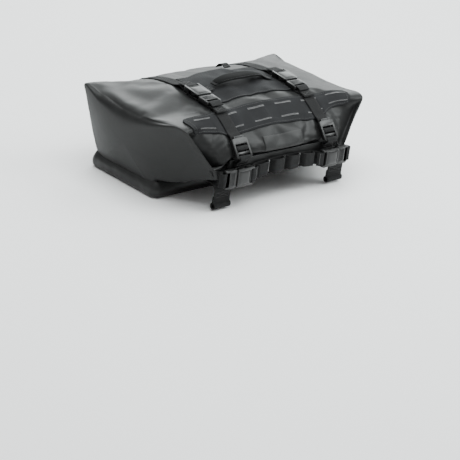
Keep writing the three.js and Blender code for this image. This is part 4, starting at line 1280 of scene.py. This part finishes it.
def rolled_mouth():
    pitch = ROLL["fabric"] + ROLL["gap"]
    radius = ROLL["core"] / 2 + ROLL["gap"] + ROLL["fabric"] / 2 + pitch / 2
    path = [(ROLL["y"] - radius + pitch / 4, ROLL["z"] - ROLL["high"] / 2)]
    for k in range(ROLL["half_turns"]):
        up = 1 if k % 2 == 0 else -1
        centre = (ROLL["y"] + up * pitch / 4, ROLL["z"] + up * ROLL["high"] / 2)
        path += arc(*centre, radius, 180 if up > 0 else 0, 0 if up > 0 else -180, 5)
        radius += pitch / 2
    y = path[-1][0]
    path += [(y, ROLL["z"] + 10), (y + 1, ROLL["z"] + 20)]
    piece = Piece()
    how = {"seed": 31, "flats": 70, "crumple": 0.3}
    Strip(in_yz(0, path), (1, 0, 0), 2 * ROLL["half"], ROLL["fabric"], **how).add_to(piece, TARPAULIN)
    settle(piece.build("rolled_cloth"), "bag", "tarpaulin", "closure_roll")


rolled_mouth()

# ---------------------------------------------------------------- handle and lash loop

HANDLE = {"y": -36, "half": 60, "end": 14, "middle": 28}


def handle():
    low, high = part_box("handle_webbing")
    bottom, top = low[2] / MM + 2.4, high[2] / MM - 1

    def height(s):
        return bottom + (top - bottom) * (1 - abs(s) ** 3)

    path = [(s * HANDLE["half"], HANDLE["y"], height(s)) for s in np.linspace(-1, 1, 17)]
    piece = Piece()

    def wide(s):
        return HANDLE["end"] + (HANDLE["middle"] - HANDLE["end"]) * float(smoothstep(0, 0.3, min(s, 1 - s)))

    Strip(path, (0, 1, 0), wide, 1.8, seed=41).add_to(piece, WEBBING)
    settle(piece.build("handle_strap"), "carry_handle", "webbing", "handle_webbing")

    piece = Piece()
    steps, sides = 49, 28
    reach = 0.9
    rows = []
    for s in np.linspace(-reach, reach, steps):
        share = abs(s) / reach
        full = (1 - share**3.2) ** 0.5 if share < 1 else 0.0
        half_wide = 8.5 + 7.0 * (1 - share**2.2)
        half_thick = 1.3 + 1.7 * full
        slope = -3 * abs(s) ** 2 * math.copysign(1, s) * (top - bottom) / HANDLE["half"]
        for k in range(sides):
            a = 2 * math.pi * k / sides
            c, q = math.cos(a), math.sin(a)
            y = half_wide * math.copysign(abs(c) ** 0.75, c)
            z = half_thick * math.copysign(abs(q) ** 0.85, q) * (1.15 if q > 0 else 0.75)
            bend = -0.0016 * y * y * (3 if q > 0 else 1)
            rows.append((s * HANDLE["half"] - slope * z, HANDLE["y"] + y, height(s) + z + bend + 0.4))
    grid = np.array(rows).reshape(steps, sides, 3)
    centre = grid.mean(axis=1, keepdims=True)
    out = unit(grid - centre)
    pads = fractal(grid.reshape(-1, 3) * (1.6, 1, 1), 14, 2, 43).reshape(steps, sides)
    grid += out * (0.35 * pads)[..., None]
    faces = [f[::-1] for f in grid_faces(steps, sides, wrap=True)] + end_faces(steps, sides)
    uv = cloth_places(np.linspace(0, 2 * reach * HANDLE["half"], steps), np.linspace(0, 70, sides))
    piece.add(grid, faces, GRIP, uv)
    for k in (3, sides // 2 - 3):
        line = grid[3:-3, k]
        seam(piece, line, unit(line - centre[3:-3, 0]), 3.6, 0.36)
    grip = piece.build("padded_grip", subdivide=1)
    settle(grip, "carry_handle", "rubber_sheet", "handle_grip")


def handle_anchor(side, name, top):
    """A tab sewn flat on the handle panel, where the handle's end goes under it."""
    points = top.reshape(-1, 3)

    def height(x):
        return points[np.argmin(np.hypot(points[:, 0] - x, points[:, 1] - HANDLE["y"]))][2]

    lifts = ((61.2, 2.4), (64, 1.7), (69, 1.0), (76.5, 0.9))
    path = [(side * x, HANDLE["y"], height(side * x) + lift) for x, lift in lifts]
    piece = Piece()
    strip = Strip(path, (0, side, 0), 19, 1.5, seed=44 + side).add_to(piece, RUBBER)
    box_x(piece, strip, 4, strip.length[-1] - 2, half=7.5)
    settle(piece.build(name + "_handle_tab"), "bag", "rubber_sheet", name + "_handle_anchor")


def lash_loop():
    path = []
    for i, p in enumerate(column(45, np.linspace(6.4, 5.95, 11))):
        path.append((45, p[1], p[2] + 1.3 + 6.2 * math.sin(math.pi * i / 10)))
    piece = Piece()
    strip = Strip(path, (-1, 0, 0), 16, 1.4, seed=47).add_to(piece, WEBBING)
    for run in (2, strip.length[-1] - 2):
        bar_tack(piece, strip, run, half=6.5)
    settle(piece.build("lash_webbing"), "bag", "webbing", "top_lash_loop")


GRIP = tarpaulin("grip_cover", 0.005, 0.7, 0.05)
handle()
panel_top, _ = PANEL
for side, name in SIDES:
    handle_anchor(side, name, panel_top)
lash_loop()

for node in ("base_board", "closure_stiffener"):
    for material_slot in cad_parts[node].material_slots:
        material_slot.material = BOARD

# ---------------------------------------------------------------- floor

floor = Piece().add(
    [(-9000, -9000, 0), (9000, -9000, 0), (9000, 9000, 0), (-9000, 9000, 0)], [(0, 1, 2, 3)], floor_paper()
).build("floor")
